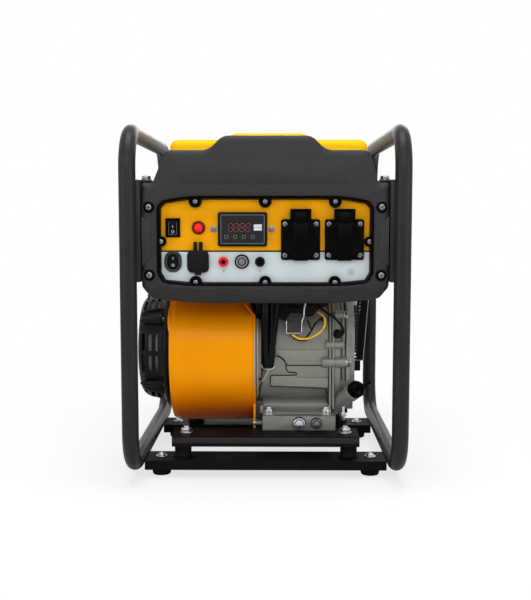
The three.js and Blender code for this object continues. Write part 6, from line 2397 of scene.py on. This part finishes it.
@dataclass
class Exhaust(Assembly):
    """The muffler and the perforated guard round it."""

    wall: float = 1.5
    flare: float = 11.0
    seam: float = 121.5
    seam_half: float = 1.4
    can: Triple = (103.0, 125.0, 19.5)
    can_middle: Pair = (114.0, 199.0)
    guard_height: float = 136.0
    shield_edge: Pair = (139.6, 143.6)

    def build(self) -> None:
        """Makes the exhaust."""
        self.muffler()
        self.guard()

    def muffler(self) -> None:
        """The can with its rolled seam."""
        self.soften("muffler", DARK_STEEL, 2.4)
        outline = rounded_rectangle(*self.can, self.can_middle, 8)
        seam = prism(outline, X, self.seam - self.seam_half, self.seam + self.seam_half, 0.9)
        self.piece("muffler_seam", seam, DARK_STEEL)

    def guard(self) -> None:
        """The guard: a pierced sheet round the muffler's front, side and rear, leaning out to its top."""
        extent = Extent.of("muffler_guard")
        (x0, y0, _), (x1, y1, z1) = extent.low, extent.high
        z0 = z1 - self.guard_height
        lean = np.array([[0.0], [1.0]]) * self.flare

        def bend(inward: float) -> Array:
            """The sheet's line in plan at its foot and at its top.

            Args:
                inward: how far inside the outer face it lies.

            Returns:
                Its points.
            """
            start, out, near, far = x0 + 14, x1 - self.flare - inward, y0 + inward, y1 - inward
            edge = softened([(start, near), (out, near), (out, far), (start, far)], [0.1, 5, 5, 0.1], 5)
            side = (edge[:, 0] > x0 + 20) * (edge[:, 0] - x0) / (x1 - self.flare - x0)
            x = edge[None, :, 0] + lean * side[None, :]
            return placed(x, edge[None, :, 1], np.array([[z0], [z1]]), Z)

        sheet = sheet_metal(bend(0.0), bend(self.wall), np.ones((1, 19), bool))
        self.piece("guard_sheet", sheet, PIERCED_BLACK, replaces=("muffler_guard",), sharp=40)
        foot, y = x1 - self.flare, y0 - 0.2
        slant = [(foot + 0.2, y, z0), (foot + self.flare / 2 + 0.2, y, (z0 + z1) / 2), (x1 - 0.3, y, z1 - 1)]
        low = [(x0 + 20, y, z0), (foot, y, z0)]
        # Pale metal lines along the sheet's slanted and lower front edges: painted highlights on the black
        # guard.
        edge_highlights = cable(slant, 0.8, (0, 1, 0), 12) + cable(low, 0.8, (0, 0, 1), 8)
        self.piece("guard_edge", edge_highlights, DARK_ZINC)
        margin = np.array([(x1 - 13.0, z1 - 0.5), (x1 - 1.0, z1 - 0.5), (foot, z0), (foot - 9.0, z0)])
        # A pale strip behind the pierced sheet: painted light seen through its holes.
        near, far = self.shield_edge
        glint = block((near, y0 + 3.0, z0 + 6.0), (far, y0 + 4.4, z1 - 6.0), 0.3)
        self.piece("heat_shield_edge", glint, PRINT_WHITE)
        strut = block((x1 - 41.0, y0 - 0.8, z0 - 17.0), (x1 - 14.6, y0 + 25.0, z0 + 1.0), 1.2)
        self.piece("guard_margin", prism(margin, Y, y0 + 0.2, y0 - 0.9, 0.3) + strut, SHADE_DARKENED_BLACK)


@dataclass
class Intake(Assembly):
    """The carburettor, the air filter and the choke lever."""

    def build(self) -> None:
        """Makes the intake."""
        self.soften("carburettor", CASTING, 0.8)
        self.soften("air_filter", STARTER_PLASTIC, 3.0)
        self.soften("choke_lever", SMOOTH_PLASTIC, 0.6, "choke_lever")
        extent = Extent.of("air_filter")
        rear, top = extent.high[1], extent.high[2]
        clips = [block((x - 5, rear - 34.0, top - 0.6), (x + 5, rear - 16.0, top + 1.6), 0.8)
                 for x in (extent.low[0] + 20.0, extent.high[0] - 20.0)]
        self.piece("filter_clips", joined(clips), ZINC)


# ---------------------------------------------------------------- wiring


@dataclass
class Wiring(Assembly):
    """The harness behind the fascia and the loose wires on the engine's face."""

    face: float = -95.0
    regulator: Pair = (39.0, 203.5)
    grommet: Pair = (100.6, 191.0)
    sleeve: Pair = (78.0, 213.0)

    def build(self) -> None:
        """Makes the harness, the small module and the wires."""
        top = Extent.of("wiring_harness").high[2]
        left = [(-3.5, -109, top), (-1.0, -110, 234), (-0.5, -111, 214), (-0.5, -111, 180), (-0.2, -109, 160),
                (1.2, -104, 146)]
        right = [(17.0, -109, top), (14.5, -110, 234), (12.4, -110, 214), (10.2, -110, 197), (8.2, -109, 176),
                 (6.6, -107, 158), (4.8, -104, 146)]
        thin = [(9.0, -117.0, top), (8.6, -117.4, 222), (7.4, -116.6, 190), (5.6, -113.4, 165),
                (3.4, -107, 149)]
        sleeves = cable(left, 6.2) + cable(right, 5.8) + cable(thin, 2.2)
        self.piece("harness_sleeves", sleeves, SLEEVE_GLOSS, replaces=("wiring_harness",), sharp=60)
        self.piece("harness_mouth", block((-15, -117, top - 8), (20, -102, top), 2.0), SMOOTH_PLASTIC)
        clip = wire([(-7.0, -103, 147.5), (-3.0, -105, 144), (3.0, -106.5, 142), (9.0, -105, 143.5),
                     (12.5, -102, 146.5)], 1.7, 30)
        stem = wire([(3.4, -103.5, 142.0), (2.4, -103, 138.0), (-1.0, -101, 131.0), (-5.4, -98.5, 124.0)],
                    2.2, 24)
        self.piece("harness_clip", clip + stem, PALE_CAST_AND_HIGHLIGHT)
        # The thin dark tail down the casting's left edge is a wire and also a painted shade line along that
        # edge.
        tail = wire([(-5.4, -98, 124), (-9.0, -97.2, 112), (-10.8, -96.6, 96)], 1.1, 24)
        plug = wire([(-7.0, -100, 152), (-9.0, -100, 140), (-9.6, -99.5, 126)], 4.2, 20)
        self.piece("harness_tail", tail + plug, COVER_RUBBER, sharp=80)
        # A black sheet with a ragged lower edge on the crankcase's upper face, with loose wires over it:
        # painted shade under the fascia.
        edge = [(-13, 246), (-13, 212), (2, 211), (18.7, 213), (27, 209), (34, 221), (48, 220), (57, 215),
                (66, 217), (74, 226), (85, 230), (88, 246)]
        shade = prism(softened(edge, 2.5, 4), Y, self.face + 0.5, self.face - 3.4, 0.8)
        loose = [[(20, -104, 250), (27, -104, 236), (36, -104, 228), (50, -103, 230), (62, -102, 240)],
                 [(-12, -104, 246), (-8, -106, 232), (-10, -104, 220), (-13, -100, 212)],
                 [(24, -103, 248), (33, -105, 240), (44, -105, 236), (60, -103, 232), (78, -102, 236)]]
        cover = shade + joined([wire(stops, 2.4, 40) for stops in loose])
        self.piece("upper_cable_cover", cover, SMOOTH_PLASTIC, sharp=50)
        self.module()
        self.leads()

    def module(self) -> None:
        """The square regulator in its bright edge, held on two wires."""
        centre, near, far = self.regulator, self.face - 12.0, self.face - 20.0
        core = plaque(centre, (18.6, 15.4, 1.6), near, far, 0.7)
        self.piece("regulator_core", core, REGULATOR_CASE)
        left, right, low, z = centre[0] - 10.2, centre[0] + 10.4, centre[1] - 8.8, centre[1]
        edge = block((left - 0.9, far - 0.4, low), (left + 0.5, near, z + 8.0), 0.4)
        edge += block((left - 0.9, far - 0.4, low - 0.8), (right, near, low + 0.3), 0.3)
        strip = wire([(right, far + 2, low + 1), (right + 0.4, far + 3, z + 6),
                      (right + 3.4, far + 5, z + 15), (right + 3.8, far + 6, z + 24),
                      (right + 7.0, far + 7, z + 38)], 1.2, 30)
        self.piece("regulator_edge", edge + strip, ZINC)

    def leads(self) -> None:
        """The yellow lead, the black leads and their grommet."""
        y = self.face - 8.0
        yellow = [(36.6, y - 5, 191.5), (41.0, y - 6, 188.6), (47.5, y - 6, 185.9), (56.0, y - 6, 186.0),
                  (64.8, y - 5, 188.5), (77.0, y - 4, 196.4), (82.1, y - 3, 205.2), (82.1, y - 2, 213.5),
                  (77.7, y + 1, 219.2), (73.0, y + 8, 222.0)]
        self.piece("yellow_lead", wire(yellow, 1.5, 90), YELLOW_WIRE, sharp=80)
        over = [(66, y, 236), (74, y - 2, 229.5), (84, y - 4, 223.0), (96, y - 5, 214.7),
                (105, y - 5, 204.5), (108.2, y - 4, 196.5), (105.6, y - 2, 190.4), (101.0, y + 4, 190.4)]
        beside = [(78, y, 214.5), (72, y - 3, 210.0), (67, y - 4, 204.0), (63.5, y - 4, 197.0),
                  (57, y - 4, 188.6), (50, y - 2, 184.0)]
        short = [(58, y - 2, 212), (61, y - 4, 204), (64, y - 4, 198)]
        under = [(35.0, y - 3, 192.4), (38.4, y - 4, 187.8), (44.0, y - 4, 184.6), (51.0, y - 4, 183.2),
                 (57.0, y - 3, 184.2)]
        sizes = ((over, 1.8), (beside, 1.2), (short, 1.0), (under, 1.3))
        leads = joined([wire(stops, radius, 80) for stops, radius in sizes])
        self.piece("black_leads", leads, COVER_RUBBER, sharp=80)
        steps = ((0, -12), (3.0, -12), (4.2, -10), (4.2, -5), (6.6, -4), (6.6, 2), (0, 2))
        shape = [(radius, self.face + step) for radius, step in steps]
        grommet = turned(shape, 0.8, Y, self.grommet, 32)
        self.piece("lead_grommet", grommet, COVER_RUBBER)
        tie = lathe([(2.0, -1.6), (3.4, -1.6), (3.4, 1.6), (2.0, 1.6)], X, (0.0, 0.0), 24, loop=True)
        self.piece("lead_sleeve", tie.moved(self.sleeve[0], y - 1.0, self.sleeve[1]), COVER_RUBBER)


# ---------------------------------------------------------------- studio


@dataclass
class Softbox:
    """One area light.

    Attributes:
        name: its name.
        place: where it stands, in metres.
        aim: the point that it faces, in metres.
        size: its width and height, in metres.
        power: its power in watts.
        tint: its colour.
    """

    name: str
    place: Triple
    aim: Triple
    size: Pair
    power: float
    tint: Colour = WHITE

    def build(self) -> None:
        """Makes the light."""
        data = bpy.data.lights.new(self.name, "AREA")
        data.shape, data.size, data.size_y = "RECTANGLE", *self.size
        data.energy, data.color = self.power, self.tint
        lamp = bpy.data.objects.new(self.name, data)
        lamp.location = self.place
        lamp.rotation_euler = (Vector(self.aim) - Vector(self.place)).to_track_quat("-Z", "Y").to_euler()
        bpy.context.scene.collection.objects.link(lamp)


@dataclass
class Studio:
    """Camera, soft light, white surround and pale floor."""

    eye: Triple = (0.014, -1.396, 0.362)
    pitch: float = -5.41
    yaw: float = 0.65
    lens: float = 55.8
    ambient: float = 0.22
    floor_size: float = 9.0
    lights: tuple[Softbox, ...] = (
        Softbox("overhead", (0.0, -0.35, 1.8), (0.0, 0.0, 0.3), (1.2, 0.9), 24.0),
        Softbox("front", (0.0, -1.95, 1.15), (0.0, 0.0, 0.25), (1.7, 0.9), 16.3),
        Softbox("left_front", (-1.4, -1.15, 0.6), (0.0, 0.0, 0.24), (0.7, 1.0), 6.5),
        Softbox("right_front", (1.4, -1.1, 0.6), (0.0, 0.0, 0.24), (0.7, 1.0), 7.5),
        Softbox("rear", (0.2, 1.5, 1.1), (0.0, 0.0, 0.3), (1.4, 0.8), 12.0),
    )

    def build(self) -> None:
        """Makes the studio."""
        self.camera()
        self.world()
        self.floor()
        for light in self.lights:
            light.build()
        bpy.context.scene.view_settings.view_transform = "Standard"

    def camera(self) -> None:
        """The camera, level across and pitched down a little."""
        data = bpy.data.cameras.new("camera")
        data.lens, data.sensor_width, data.clip_start = self.lens, 36.0, 0.05
        camera = bpy.data.objects.new("camera", data)
        camera.location = self.eye
        camera.rotation_euler = Euler((math.radians(90.0 + self.pitch), 0.0, math.radians(self.yaw)))
        bpy.context.scene.collection.objects.link(camera)
        bpy.context.scene.camera = camera

    def world(self) -> None:
        """A dim even surround that looks white to the camera, in gloss and through glass."""
        world = bpy.data.worlds.new("surround")
        world.use_nodes = True
        world.node_tree.nodes.clear()
        graph = Graph(world)
        dim, white = (graph.node("ShaderNodeBackground", {}, {"Color": (*WHITE, 1.0), "Strength": strength})
                      for strength in (self.ambient, 1.0))
        seen = graph.node("ShaderNodeLightPath", output="Is Camera Ray")
        for ray in ("Is Glossy Ray", "Is Transmission Ray"):
            seen = seen.most(graph.node("ShaderNodeLightPath", output=ray))
        graph.finish_with(graph.node("ShaderNodeMixShader", {}, {0: seen, 1: dim, 2: white}), "World")
        bpy.context.scene.world = world

    def floor(self) -> None:
        """The pale floor that the object stands on."""
        half = self.floor_size / 2
        mesh = bpy.data.meshes.new("floor")
        corners = [(-half, -half, 0), (half, -half, 0), (half, half, 0), (-half, half, 0)]
        mesh.from_pydata(corners, [], [(0, 1, 2, 3)])
        floor = bpy.data.objects.new("floor", mesh)
        mesh.materials.append(PALE_FLOOR.material())
        bpy.context.scene.collection.objects.link(floor)


def main() -> None:
    """Builds the generator part by part, then the studio, and logs how many pieces each part has."""
    logging.basicConfig(level=logging.INFO, format="%(message)s", stream=sys.stdout)
    parts = [TubeFrame(), Base(), ControlHousing(), PanelControls(), FuelSystem(), Engine(), Alternator(),
             RecoilStarter(), Exhaust(), Intake(), Wiring()]
    for part in parts:
        part.build()
        log.info("%s is built from %d pieces", type(part).__name__, part.made)
    Studio().build()


if __name__ == "__main__":
    main()
